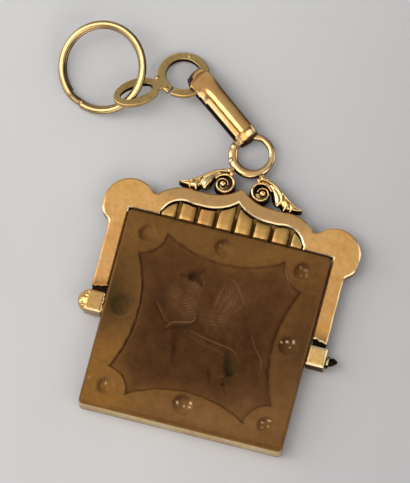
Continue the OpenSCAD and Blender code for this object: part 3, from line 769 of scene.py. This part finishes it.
def soften(y, reach):
    """Rounds the kinks of a line of heights."""
    kernel = np.hanning(reach + 2)[1:-1]
    return np.convolve(np.pad(y, reach // 2, mode="edge"), kernel / kernel.sum(), "valid")[: len(y)]


def plate_outer():
    """The plate's outside, anticlockwise from the right arm's inner corner."""
    xs = np.linspace(0, 9.6, 90)
    top = ogee(xs, *OUTSIDE)
    top = soften(np.r_[top[::-1], top[1:]], 9)[len(xs) - 1:]
    right_end = [
        (INNER_X, 2.5), (13.3, 2.4), (13.5, 2.5), (13.75, 2.42), (14.05, 2.24), (14.35, 2.3), (14.7, 2.12),
        (ARM_X, 2.1)]
    left_end = [
        (-ARM_X, 2.34), (-14.6, 2.3), (-14.2, 2.48), (-13.9, 2.42), (-13.5, 2.6), (-13.2, 2.64),
        (-INNER_X, 2.7)]
    side = [(ARM_X + 0.02 * math.sin(1.9 * y), y) for y in np.linspace(3.5, 10.3, 14)]
    side += [(15.03, 10.65), (15.12, 10.92), (15.34, 11.16), (15.66, 11.4), (15.95, 11.68), (16.16, 12.05)]
    side += [(16.28, 12.45), *arc(*EAR, -11, 128, 46)]
    side += [(10.72, 15.83), (10.46, 15.68), (10.2, 15.62), (9.95, 15.68), (9.75, 15.8)]
    side += zip(xs[::-1], top[::-1])
    return right_end + side + [(-x, y) for x, y in side[:-1][::-1]] + left_end


def plate_inner():
    """The plate's inside: up the left arm, over the window, down the right arm."""
    wx = np.linspace(0, 9.12, 80)
    wy = window_y(wx)
    wy = np.r_[wy[:8], soften(wy[8:], 7)]
    right = [(x, y) for x, y in zip(wx, wy) if y > 13.75 or x < 8.5]
    right += [(9.15, 13.6), (9.15, 13.3), (9.2, 13.15), (9.32, YOKE + 0.01)]
    right += [(10.5, YOKE), (11.8, YOKE), (12.8, YOKE), (12.98, YOKE - 0.03), (13.07, YOKE - 0.12)]
    right += [(INNER_X, y) for y in (YOKE - 0.3, 11, 9, 7, 5, 3.4)]
    return [(-x, y) for x, y in right[1:][::-1]] + right


def apart(points, gap):
    """Drops points that lie closer than the gap to the one before."""
    keep = [0]
    for i in range(1, len(points)):
        if np.hypot(*(points[i] - points[keep[-1]])) > gap:
            keep.append(i)
    return points[keep]


def in_window(normal, at):
    """True on the walls of the window, apart from its lower edge."""
    return abs(normal.z) < 0.6 and normal.y < 0.1 and abs(at.x) < 9.35 and at.y > YOKE + 0.05


def make_plate():
    outline = apart(np.array(plate_outer() + plate_inner()), 0.03)
    plate = new_piece("frame_plate", *slab(outline, PLATE_LOW, PLATE_TOP, 0.19, 0.1), SATIN, 25)
    paint(plate, ARMS, lambda n, at: at.y < 10.5)
    # black painted shade on the window's walls
    paint(plate, BLACK_SHADE, in_window)
    # painted highlights on the edges that face -Y or +X
    paint_edge_highlights(plate, EDGE_HIGHLIGHT, lambda n, at: (n.y < -0.12 or n.x > 0.3)
               and not (at.x < -12.9 and at.y < 3.2))


make_plate()


# The fluted strip

PITCH, GROOVE, OFFSET = 2.38, 0.46, 0.12  # of the bars, between two bars, and of the middle groove
STRIP_END = 9.1
BAR_FACE = 1.9
# a bar's section: place across it as a share, and how far it lies below the face
BAR_ACROSS = [
    (0, 0.3), (0.02, 0.1), (0.07, 0.015), (0.1, 0), (0.3, 0), (0.5, 0.005), (0.7, 0), (0.9, 0), (0.94, 0.03),
    (0.98, 0.12), (1.0, 0.4)]
# its foot, as height over the yoke's edge and over the face, and its upper part, as a share of its height
BAR_FOOT = [(0, -0.9), (0, -0.24), (0.01, -0.19), (0.24, -0.005), (0.26, 0)]
BAR_TOP = [(1.0, -0.03), (1.02, -0.3), (1.04, -0.8)]


def flute_bar(x0, x1):
    """One bar of the fluted strip: flat face, narrow bevels at the sides, a wide bevel along the bottom."""
    share, drop = np.array(BAR_ACROSS).T
    xs = x0 + share * (x1 - x0)
    foot = YOKE + BAR_FOOT[-1][0]
    height = window_y(xs) - 0.3 - foot
    lean = 0.03 * math.sin(3.1 * x0)
    rows = [(np.full(len(xs), YOKE + y), rise) for y, rise in BAR_FOOT]
    rows += [(foot + height * v, rise) for v, rise in [(v, lean * v) for v in (0.3, 0.6, 0.9)] + BAR_TOP]
    back = PLATE_LOW + 0.03
    rings = []
    for ys, rise in rows:
        ys = np.maximum(ys, YOKE)
        face = np.c_[xs, ys, np.maximum(BAR_FACE + rise - drop, back + 0.04)]
        rings.append(np.vstack([face, [[x1, ys[-1], back], [x0, ys[0], back]]]))
    return sweep(rings)


def make_bars():
    bars = []
    for i in range(-4, 4):
        x0 = max(i * PITCH + GROOVE / 2 + OFFSET, -STRIP_END)
        x1 = min((i + 1) * PITCH - GROOVE / 2 + OFFSET, STRIP_END) if i < 3 else STRIP_END - 0.08
        bars.append(flute_bar(x0, x1))
    strip = new_piece("fluted_bars", *joined(bars), TILE, 22)
    # painted highlights on the bars' lower and left bevels
    paint_edge_highlights(strip, EDGE_HIGHLIGHT, lambda n, at: n.y < -0.3 or n.x < -0.3)


def make_bed():
    """Bed under the bars, darker gold for painted shade, a little hollow along each groove, and run under the
    plate's rim.
    """
    def height(x):
        return window_y(x) + 0.3 - YOKE
    end = STRIP_END + 0.02
    xs = np.linspace(-end, end, 153)
    hollow = sum(0.14 * np.clip(1 - np.abs(xs - g * PITCH - OFFSET) / 0.24, 0, 1) for g in range(-3, 4))
    rings = []
    for v in (0.0, 0.04, 0.3, 0.74, 0.77, 1.0):
        z = 1.5 - hollow - (0.25 if v == 0 else 0) - 0.012 * np.sin(23 * xs + 9 * v)
        ys = YOKE + 0.04 + height(xs) * v
        rings.append(np.vstack([np.c_[xs, ys, z], [[end, ys[-1], 1.04], [-end, ys[0], 1.04]]]))
    bed = new_piece("flute_bed", *sweep(rings), SHADED_GOLD, 30)
    # black painted shade where the bed runs under the plate's rim
    paint(bed, BLACK_SHADE, lambda n, at: at.y > YOKE + 0.76 * height(at.x))


make_bars()
make_bed()


# Knuckles, pins and screw

PIN_R = 0.6
KNUCKLE_Z = (0.3, 2.7)
NECK = (1.1, 2.9, 1.0, 1.7, 0.1)  # along Y, height and bevel of both necks


def pin_along_x(profile, n=32):
    """Turned piece on the swivel's line; profile rows are x and radius."""
    a = 2 * math.pi * np.arange(n) / n
    return sweep([np.c_[np.full(n, x), r * np.cos(a), SWIVEL_Z + r * np.sin(a)] for x, r in profile])


def make_right_knuckle():
    knuckle = new_piece("right_knuckle", *block(13.0, 15.35, -1.0, 1.5, *KNUCKLE_Z, 0.27), KNUCKLE_R, 25)
    # painted highlights on all its top bevels
    paint_edge_highlights(knuckle, EDGE_HIGHLIGHT, lambda n, at: True)
    # painted shade on the side that faces -Y
    paint(knuckle, SHADED_GOLD, lambda n, at: n.y < -0.9)


def make_left_knuckle():
    """Worn and lumpy, with a burr on its inner edge."""
    lumps = [
        ((15.0, 0.42, 1.5), (1.3, 1.42, 1.18), 20), ((15.85, 0.05, 2.05), (0.24, 0.42, 0.26), 14),
        ((15.45, 0.45, 2.5), (0.16, 0.3, 0.16), 12), ((15.3, -0.5, 2.4), (0.5, 0.17, 0.25), 14),
        ((15.6, -0.25, 2.35), (0.16, 0.2, 0.2), 12), ((15.86, 0.62, 2.1), (0.2, 0.16, 0.2), 12),
        ((15.2, 0.86, 2.55), (0.26, 0.2, 0.14), 12), ((15.68, 1.0, 2.12), (0.2, 0.24, 0.2), 12),
        ((16.05, 0.3, 1.8), (0.18, 0.2, 0.24), 12)]
    parts = [block(13.1, 15.25, -0.98, 1.68, *KNUCKLE_Z, 0.24)] + [ball(*lump) for lump in lumps]
    knuckle = fused("left_knuckle", mirror_x(parts), 0.05, KNUCKLE, 1)
    # painted highlights on the bevels that face -Y
    paint_edge_highlights(knuckle, EDGE_HIGHLIGHT, lambda n, at: n.y < -0.3)
    burr = []
    for k, y in enumerate(np.linspace(-0.85, 1.4, 10)):
        x, half = -13.12 - 0.05 * math.sin(5 * k), 0.12 + 0.05 * math.sin(3 * k)
        burr.append(ball((x, y, 2.55), (half, 0.15, 0.14), 10))
    # the burr in pale gold, a painted highlight
    fused("left_knuckle_burr", burr, 0.045, EDGE_HIGHLIGHT, 1)


make_right_knuckle()
# both necks black with painted shade, the dark gaps beside the knuckles
new_piece("right_neck", *block(13.3, 14.9, *NECK), BLACK_SHADE, 35)
new_piece("left_neck", *mirror_x([block(13.12, 14.9, *NECK)])[0], BLACK_SHADE, 35)
make_left_knuckle()
new_piece("fixed_pin", *pin_along_x([(-13.3, PIN_R), (-12, PIN_R), (-10.6, PIN_R), (-10.5, 0.5)]), BRIGHT, 35)

HEAD = 15.45  # where the screw's head starts
SCREW_SHAFT = [(10.5, 0.5), (10.6, PIN_R), (15.38, PIN_R)]
# the head's profile from there: length and radius
SCREW_HEAD = [
    (0, 0.62), (0, 0.7), (0.06, 0.75), (0.3, 0.75), (0.36, 0.7), (0.42, 0.52), (0.5, 0.5), (0.56, 0.6),
    (0.72, 0.56), (0.95, 0.44), (1.2, 0.27), (1.34, 0.14), (1.4, 0.04)]


def make_screw():
    """Pointed screw, its head bent a little towards the pendant's top, with a painted highlight on one facet.
    """
    verts, faces = pin_along_x(SCREW_SHAFT + [(HEAD + x, r) for x, r in SCREW_HEAD], 40)
    verts[:, 1] += 0.3 * np.clip(verts[:, 0] - 15.4, 0, 1.1)
    screw = new_piece("screw_pin_turned", verts, faces, SCREW, 30, slot="pale_gold", node="screw_pin")
    # a painted highlight on one facet of the head
    paint(screw, EDGE_HIGHLIGHT, lambda n, at: 0.06 < at.x - HEAD < 0.3 and n.z > 0.75)


make_screw()


# The scrolls: each key is x, y, half width and height of the crest, for the scroll at the right

VOLUTE = (2.35, 18.93)  # its middle
SCROLL_BASE = 0.95
# the smooth back of the leaf from its tip over the crown
BACK = [
    (7.85, 18.02, 0.05, 2.2), (7.3, 18.12, 0.1, 2.26), (6.7, 18.34, 0.14, 2.3), (6, 18.74, 0.18, 2.3),
    (5.3, 19.24, 0.22, 2.28), (4.6, 19.82, 0.22, 2.26), (3.9, 20.28, 0.2, 2.24), (3.2, 20.62, 0.18, 2.24),
    (2.5, 20.82, 0.18, 2.24), (1.9, 20.85, 0.18, 2.22)]
# the broad bright lobe from its free end to the crown
LOBE = [
    (4.66, 17.98, 0.22, 2.3), (4.66, 18.28, 0.5, 2.56), (4.56, 18.7, 0.6, 2.62), (4.24, 19.26, 0.52, 2.58),
    (3.8, 19.78, 0.38, 2.46), (3.2, 20.18, 0.28, 2.3), (2.6, 20.36, 0.22, 2.2), (2, 20.36, 0.2, 2.15)]
# a bright rib along that lobe's outer side
STRIPE = [
    (5, 18.3, 0.08, 2.4), (5.05, 18.7, 0.15, 2.64), (4.8, 19.24, 0.18, 2.7), (4.27, 19.78, 0.19, 2.72),
    (3.5, 20.26, 0.19, 2.7), (2.7, 20.5, 0.18, 2.66), (2, 20.52, 0.15, 2.6)]
# the volute, from the lobe's inner edge round and in
COIL = [
    (3.5, 19.35, 0.13, 2.5), (3.15, 19.75, 0.17, 2.6), (2.6, 20.02, 0.2, 2.66), (1.95, 19.98, 0.21, 2.7),
    (1.42, 19.6, 0.22, 2.7), (1.2, 18.98, 0.22, 2.68), (1.42, 18.33, 0.21, 2.66), (1.95, 17.94, 0.21, 2.64),
    (2.6, 17.9, 0.2, 2.64), (3.14, 18.28, 0.18, 2.62), (3.26, 18.84, 0.17, 2.6), (3, 19.34, 0.16, 2.58),
    (2.48, 19.46, 0.15, 2.56), (2.05, 19.25, 0.13, 2.52), (1.88, 18.85, 0.1, 2.46)]
# the leaf beyond the lobe, tapering to its point
TIP = [
    (4.95, 18.95, 0.3, 2.3), (5.35, 18.45, 0.5, 2.4), (5.85, 18.05, 0.52, 2.42), (6.4, 17.98, 0.4, 2.36),
    (6.95, 17.93, 0.28, 2.28), (7.45, 17.92, 0.16, 2.18), (7.85, 17.98, 0.05, 2.1)]
# slanting ribs on the leaf, their ends making its ragged lower edge
TEETH = [
    [(5.3, 18.95, 0.12, 2.4), (5.62, 18.4, 0.26, 2.56), (5.74, 17.88, 0.28, 2.56), (5.6, 17.42, 0.13, 2.38)],
    [(6.2, 18.42, 0.12, 2.4), (6.5, 18.02, 0.2, 2.46), (6.52, 17.75, 0.18, 2.42), (6.4, 17.52, 0.1, 2.25)]]


def ridge(points, n=14):
    """Upright rib: a sweep from the scroll's base up to each point's crest."""
    x, y, half, crest = np.asarray(points, float).T
    return tube(np.c_[x, y, (crest + SCROLL_BASE) / 2], half, (crest - SCROLL_BASE) / 2, n, 0.85)


def scroll_parts():
    ribs = ((BACK, 46), (LOBE, 40), (COIL, 100), (TIP, 34), (STRIPE, 36))
    parts = [ridge(smooth_curve(keys, count)) for keys, count in ribs]
    parts += [ridge(smooth_curve(tooth, 16), 10) for tooth in TEETH]
    # a wider, lower foot to each shows along the lower edges
    for keys, count in ((LOBE[:6], 30), (COIL[4:12], 60), (TIP, 34), (TEETH[0], 16), (TEETH[1], 16)):
        parts.append(ridge(smooth_curve(keys, count) * [1, 1, 1, 0] + [0, -0.13, 0.1, 1.55]))
    x, y = VOLUTE
    parts.append(ball((x + 0.2, y - 0.08, 2.32), (0.4, 0.38, 0.38), 16))
    parts.append(ball((x - 0.02, y, 1.5), (1.12, 1.08, 0.34), 24))
    # solder that joins the crown to the bail
    parts += [
        ball((1.95, 20.95, 1.65), (0.42, 0.5, 0.7), 16), ball((1.72, 20.35, 2.3), (0.3, 0.34, 0.36), 14),
        ball((2.15, 20.72, 2.3), (0.3, 0.24, 0.34), 12)]
    return parts


fused("right_scroll", scroll_parts(), 0.042, CAST)
fused("left_scroll", mirror_x(scroll_parts()), 0.042, CAST)


# The bail ring

BAIL = (0.0, 23.5, 1.3)
BAIL_R, HOLE_R = 2.95, 1.92
HOLE_AT = np.array([0.15, 0.14])  # the worn hole sits off centre


def make_bail(gap=0.0):
    """The ring and its upper and lower lump of solder. A gap makes the first two fatter by that much."""
    n = 96
    a = np.radians(np.arange(n) * 360 / n)
    way = np.stack([np.cos(a), np.sin(a)], 1)
    towards = way @ HOLE_AT
    hole = towards + np.sqrt(HOLE_R ** 2 - HOLE_AT @ HOLE_AT + towards * towards)
    hole = np.clip(hole, 1.76, 2.12)
    width = BAIL_R - hole
    path = np.c_[way * ((BAIL_R + hole) / 2)[:, None], np.zeros(n)] + BAIL
    ring = tube(path, width / 2 + gap, np.clip(width * 0.5, 0.38, 0.5) + gap, power=0.8, closed=True)
    return [ring, ball((-2.42, 24.1, 1.5), (0.42 + gap, 0.4 + gap, 0.4 + gap), 14),
            ball((-2.3, 22.3, 1.5), (0.36, 0.6, 0.36), 14)]


fused("bail_ring", make_bail(), 0.055, RING)


# The band link: a loop of broad strip, drawn lying along X from its foot and then turned into place

BAND = dict(foot=(-0.55, 25.17, 1.34), heading=143.7, lift=3.4, length=11.4, height=2.8, strip=0.5)
# across the strip, and how far its outside drops there: nearly flat on the right, falling away on the left
BAND_ACROSS = [
    (-1.42, 0.36), (-1.37, 0.22), (-1.26, 0.12), (-1.05, 0.06), (-0.6, 0.01), (-0.2, 0), (-0.02, 0.009),
    (0.12, 0.03), (0.26, 0.068), (0.4, 0.125), (0.53, 0.188), (0.66, 0.262), (0.76, 0.33), (0.9, 0.44),
    (1.06, 0.575), (1.22, 0.71), (1.38, 0.87), (1.5, 1), (1.56, 1.14)]
# the low end's bend, from where it stands upright to the top
BAND_BEND = [
    (0, -0.35), (0, 0), (0.03, 0.22), (0.11, 0.44), (0.25, 0.67), (0.43, 0.87), (0.63, 1.03), (0.95, 1.2),
    (1.2, 1.32), (1.5, 1.4)]


def turn(axis, degrees):
    return np.array(Matrix.Rotation(math.radians(degrees), 3, Vector(axis)))


BAND_TURN = turn((0, 0, 1), BAND["heading"]) @ turn((0, 1, 0), -BAND["lift"])


def band_path():
    """Points round the loop seen from its side, the way out of it there, and 1 on its top to 0 below."""
    length, r, low_r = BAND["length"], BAND["height"] / 2, 0.95
    pts = [(x, r) for x in np.linspace(1.65, length - r, 38, endpoint=False)]
    pts += [*arc(length - r, 0, r, 90, -90, 27)[:-1]]
    pts += [(x, -r) for x in np.linspace(length - r, low_r, 40, endpoint=False)]
    pts += [*arc(low_r, low_r - r, low_r, 270, 180, 12), *smooth_curve(BAND_BEND, 36)[1:]]
    p = np.array(pts)
    along = np.roll(p, -1, 0) - np.roll(p, 1, 0)
    along /= np.linalg.norm(along, axis=1)[:, None]
    return np.c_[p, -along[:, 1], along[:, 0], np.clip((p[:, 1] + 0.2) / (r + 0.2), 0, 1)]


def make_band():
    length = BAND["length"]
    across, drop = np.array(BAND_ACROSS).T
    thick = BAND["strip"] - 0.28 * np.minimum((across / 1.52) ** 4, 1.1)
    rings = []
    for x, z, nx, nz, top in band_path():
        s = np.clip((x - length + 2.9) / 2.9, 0, 1)
        left, right = (1 - 0.22 * s ** 3) * (0.9 + 0.1 * top), math.sqrt(1 - 0.5 * s * s)
        ys = across * np.where(across > 0, left, right) * (0.93 + 0.07 * x / length)
        # flat where the eight link's ring passes under its left side, round again at the nose
        flat = step(x, length - 4.2, length - 2.0) * (1 - 0.9 * step(x, length - 1.25, length - 0.35))
        out = (0.25 + 0.75 * top) * drop * (1 - 0.95 * flat)
        outside = np.c_[x - nx * out, ys, z - nz * out]
        within = np.c_[x - nx * (out + thick), ys * 0.97, z - nz * (out + thick)]
        rings.append(np.vstack([outside, within[::-1]]))
    verts, faces = sweep(rings, closed=True)
    return new_piece("band_link_strip", verts @ BAND_TURN.T + BAND["foot"], faces, POLISHED, 50,
                     slot="pale_gold", node="band_link")


def on_band(where):
    """Picks faces by their place along, across and above the band's foot."""
    return lambda n, at: where(*((np.array(at) - BAND["foot"]) @ BAND_TURN))


def paint_band_shade_and_highlights(band):
    """Painted shade, black along the strip's left edge and on its low end, and painted highlights in a stripe
    and on a corner.
    """
    def rim(x, y, z):
        left = (y > 1.22 + 0.13 * max(x - 6.8, 0) and x < 9) or (z < 0 and y > 0.95 and x < 9)
        low_end = (x < 0.16 and -0.6 < z < 0.6) or (x < 0.42 and y > 0.5 and z > -0.2)
        return left or low_end or (y < -1.25 and x < 1.3)

    def stripe(x, y, z):
        return y > 0.93 + 0.13 * max(x - 6.8, 0) and x < 9.1 and z > 0

    # a painted highlight on the low end's corner, darker gold for painted shade on its end wall, a painted
    # highlight stripe, and black painted shade along the rim
    paint(band, BAND_HIGHLIGHT, on_band(lambda x, y, z: x < 1.1 and -1.1 < y < 0.1 and z > 0))
    paint(band, SHADED_GOLD, on_band(lambda x, y, z: x < 0.5 and z > -0.6))
    paint(band, BAND_HIGHLIGHT, on_band(stripe))
    paint(band, BLACK_SHADE, on_band(rim))


# The figure-eight link, drawn lying flat round its ring's middle and then turned into place

EIGHT = dict(at=(-10.8, 31.38, 1.61), lean=23.7, uphill=286.5, heading=219.8)
EIGHT_R, CUT = 2.7, 0.35  # the ring's middle line and the cut in it
EYE_X = 6.47  # the middle of the eye
HALF_T = 0.3


def lean_turn(lean, uphill):
    u = math.radians(uphill)
    return turn((math.sin(u), -math.cos(u), 0), lean)


EIGHT_TURN = lean_turn(EIGHT["lean"], EIGHT["uphill"]) @ turn((0, 0, 1), EIGHT["heading"])


def flat_tube(path, half_w, half_t=HALF_T):
    return tube(np.c_[path, np.zeros(len(path))], half_w, half_t, power=0.3)


def eight_ring(half_w, half_t=HALF_T):
    """The open ring, bent a little out of round."""
    cut_at, half_cut = 32, math.degrees(CUT / 2 / EIGHT_R)
    ring = arc(0, 0, EIGHT_R, cut_at + half_cut, cut_at + 360 - half_cut, 120)
    steep = math.radians(66.7)
    axis = np.array([math.cos(steep), math.sin(steep)])
    return flat_tube(ring + np.outer((ring @ axis) * 0.1, axis), half_w, half_t)


def eight_eye():
    """Flat oval washer round a narrow slot, pointed a little at its far end."""
    t = np.linspace(0, 2 * math.pi, 96, endpoint=False)
    c, s = np.cos(t), np.sin(t)
    outer = np.c_[3.0 * c, 2.0 * s * (1 - 0.05 * c)]
    slot = np.c_[2.12 * np.sign(c) * np.abs(c) ** 0.85, 0.9 * np.sign(s) * np.abs(s) ** 0.9]
    low = [(0.0, -0.24), (0.05, -HALF_T), (0.95, -HALF_T), (1.0, -0.24)]
    rings = [np.c_[outer + (slot - outer) * f + (EYE_X, 0), np.full(len(t), z)]
             for f, z in low + [(f, -z) for f, z in low[::-1]]]
    return sweep(list(np.stack(rings, 1)), closed=True)


def placed_eight(parts):
    return [(v @ EIGHT_TURN.T + EIGHT["at"], f) for v, f in parts]


def make_eight():
    neck = flat_tube([(2.6, 0), (3.0, 0), (3.5, 0), (4.2, 0)], 0.85)
    solder = [
        ball((2.95, 1.12, 0.2), (0.38, 0.34, 0.26), 14), ball((3.15, -0.95, 0.1), (0.42, 0.36, 0.34), 14),
        ball((-1.95, -2.2, 0.26), (0.28, 0.22, 0.14), 12)]
    parts = placed_eight([eight_ring(0.56), eight_eye(), neck] + solder)
    return fused("eight_link_plate", parts, 0.05, DULL, 1, "eight_link")


def inside_eight(normal, at):
    """True on the walls of the slot and of the ring's hole."""
    x, y, z = (np.array(at) - EIGHT["at"]) @ EIGHT_TURN
    upright = abs(float(np.array(normal) @ EIGHT_TURN[:, 2])) < 0.75
    in_slot = ((x - EYE_X) / 2.3) ** 2 + (y / 1.12) ** 2 < 1
    return upright and z < 0.27 and (in_slot or math.hypot(x, y) < 2.55)


band = make_band()
paint_band_shade_and_highlights(band)
# the band makes room for the bail and for the eight link's ring
relieve(band, make_bail(0.04)[:2] + placed_eight([eight_ring(0.6, 0.34)]))
# black painted shade on the walls of the slot and of the ring's hole
paint(make_eight(), BLACK_SHADE, inside_eight)


# The split ring: round wire in two turns, with a jog between them; angles in degrees round the ring

SPLIT = dict(
    at=(-20.75, 29.66, 2.4), lean=19.9, uphill=54.9, mid=5.32, w=0.88, t=0.58, end=251, run=336, jog=24)
AZ, EL = math.radians(14.4), math.radians(75)  # where the photograph is taken from


def make_split():
    ts = np.arange(0, 2 * SPLIT["run"] + SPLIT["jog"] + 0.1, 3.0)
    side = 1 - 2 * step(ts, SPLIT["run"], SPLIT["run"] + SPLIT["jog"])
    a = np.radians(SPLIT["end"] + ts)
    mid = SPLIT["mid"] + 0.09 * side
    path = np.c_[mid * np.cos(a), mid * np.sin(a), SPLIT["t"] * 0.5 * side]
    # the turns lie a trace to either side, and the ring is squeezed a little out of round
    path[:, :2] += np.outer(side, (0.06, 0.01))
    squeeze = np.array([math.cos(AZ), math.sin(AZ)])
    path[:, :2] -= np.outer(path[:, :2] @ squeeze * 0.03, squeeze)
    verts, faces = tube(path, SPLIT["w"] / 2, SPLIT["t"] / 2)
    verts = verts @ lean_turn(SPLIT["lean"], SPLIT["uphill"]).T + SPLIT["at"]
    new_piece("split_ring_wire", verts, faces, WIRE, 60, slot="pale_gold", node="split_ring")


make_split()


# Stage: floor, light and camera

PHOTO_SIZE = (410, 483)  # pixels
STONE_AT = (204.6, 330.4)  # the pixel where the stone's middle is
PIXELS_A_MM = 8.08
IMG_RIGHT = Vector((math.cos(AZ), math.sin(AZ), 0))
IMG_UP = Vector((-math.sin(AZ), math.cos(AZ), 0))


def towards(right, up, high):
    """Direction given by how far it goes right, up the picture and above the floor."""
    return (IMG_RIGHT * right + IMG_UP * up + Vector((0, 0, high))).normalized()


def make_floor():
    half, low = 0.6, -2e-5  # m; a hair under the pendant
    corners = [(x * half, y * half, low) for x, y in ((-1, -1), (1, -1), (1, 1), (-1, 1))]
    mesh = bpy.data.meshes.new("floor")
    mesh.from_pydata(corners, [], [(0, 1, 2, 3)])
    floor = new_object("floor", mesh)
    mat = bpy.data.materials.new("floor")
    s = Shader(mat)
    sheet = s.ramp(s.noise(s.place(), 30, 3), [(0.3, srgb(196, 194, 195)), (0.7, srgb(200, 198, 199))])
    # painted shade: the sheet is a little greyer towards the lower right, where the light falls off
    light_falloff = s.span(s.dot(s.place(), IMG_RIGHT * 0.96 - IMG_UP * 0.15), -0.002, 0.027)
    shade = s.mix(light_falloff, sheet, (0.84, 0.83, 0.84), "MULTIPLY")
    s.surface({"Base Color": shade, "Roughness": 0.7, "Specular IOR Level": 0.2})
    mesh.materials.append(mat)


def area_light(name, way, size, power):
    """Round soft light 0.7 m away."""
    light = bpy.data.lights.new(name, "AREA")
    light.shape, light.size = "DISK", size
    light.energy, light.color = power, (1.0, 0.98, 0.95)
    obj = new_object(name, light)
    obj.location = way * 0.7
    obj.rotation_mode = "QUATERNION"
    obj.rotation_quaternion = (-way).to_track_quat("-Z", "Y")


# pale windows: right, up, high, how near its middle each starts and is full, and how bright it is
WINDOWS = [
    (0, -0.857, 0.515, 0.86, 0.95, 1.4), (0.908, 0.259, 0.33, 0.93, 0.98, 1.7),
    (-0.908, 0.259, 0.33, 0.93, 0.98, 0.5), (0.59, -0.47, 0.66, 0.955, 0.985, 2.2),
    (-0.86, -0.42, 0.3, 0.955, 0.985, 1.3)]


def make_world():
    """Pale room, darker on the right: bright near the horizon, dimmer half way up, fairly bright overhead."""
    world = bpy.data.worlds.new("studio")
    bpy.context.scene.world = world
    s = Shader(world)
    way = s.place("Generated")
    sky = s.ramp(s.axis(way, 2), [
        (0, (0.74, 0.73, 0.7)), (0.3, (0.72, 0.72, 0.69)), (0.44, (0.22, 0.23, 0.23)),
        (0.74, (0.3, 0.32, 0.32)), (0.9, (0.6, 0.62, 0.63)), (1, (0.66, 0.68, 0.69))])
    colour = s.mix(s.span(s.dot(way, IMG_RIGHT), 0.0, 0.6), sky, (0.4, 0.4, 0.42), "MULTIPLY")
    for right, up, high, start, full, glow in WINDOWS:
        patch = s.span(s.dot(way, towards(right, up, high)), start, full)
        patch = s.ramp(patch, [(0, (0, 0, 0)), (1, (glow, glow, glow * 0.94))])
        colour = s.mix(1.0, colour, patch, "ADD")
    s.put(s.tree.nodes["Background"], {"Color": colour, "Strength": 1.0})


def make_camera():
    """Camera at the photograph's angle, aimed so that the stone lies where it does there."""
    away = 1.2
    right = (PHOTO_SIZE[0] / 2 - STONE_AT[0]) / PIXELS_A_MM
    up = (STONE_AT[1] - PHOTO_SIZE[1] / 2) / PIXELS_A_MM / math.sin(EL)
    look = right * IMG_RIGHT + up * IMG_UP + Vector((0, -0.1, THICK))
    back = -IMG_UP * math.cos(EL) + Vector((0, 0, math.sin(EL)))
    cam = bpy.data.cameras.new("camera")
    cam.sensor_width = 36
    cam.lens = cam.sensor_width / 2 * away / (PHOTO_SIZE[1] / 2 / PIXELS_A_MM * MM)
    cam.clip_start, cam.clip_end = 0.05, 10
    obj = new_object("camera", cam)
    obj.location = Vector(metres(look)[0]) + back * away
    obj.rotation_mode = "QUATERNION"
    # the picture's up is the pendant's up in the photograph
    top = IMG_UP * math.sin(EL) + Vector((0, 0, math.cos(EL)))
    obj.rotation_quaternion = Matrix((IMG_RIGHT, top, back)).transposed().to_quaternion()
    bpy.context.scene.camera = obj


make_floor()
make_world()
area_light("key", towards(-0.44, -0.03, 0.89), 0.5, 1.9)
area_light("low left", towards(-0.84, 0.14, 0.52), 0.45, 1.3)
bpy.context.scene.view_settings.view_transform = "Standard"
make_camera()
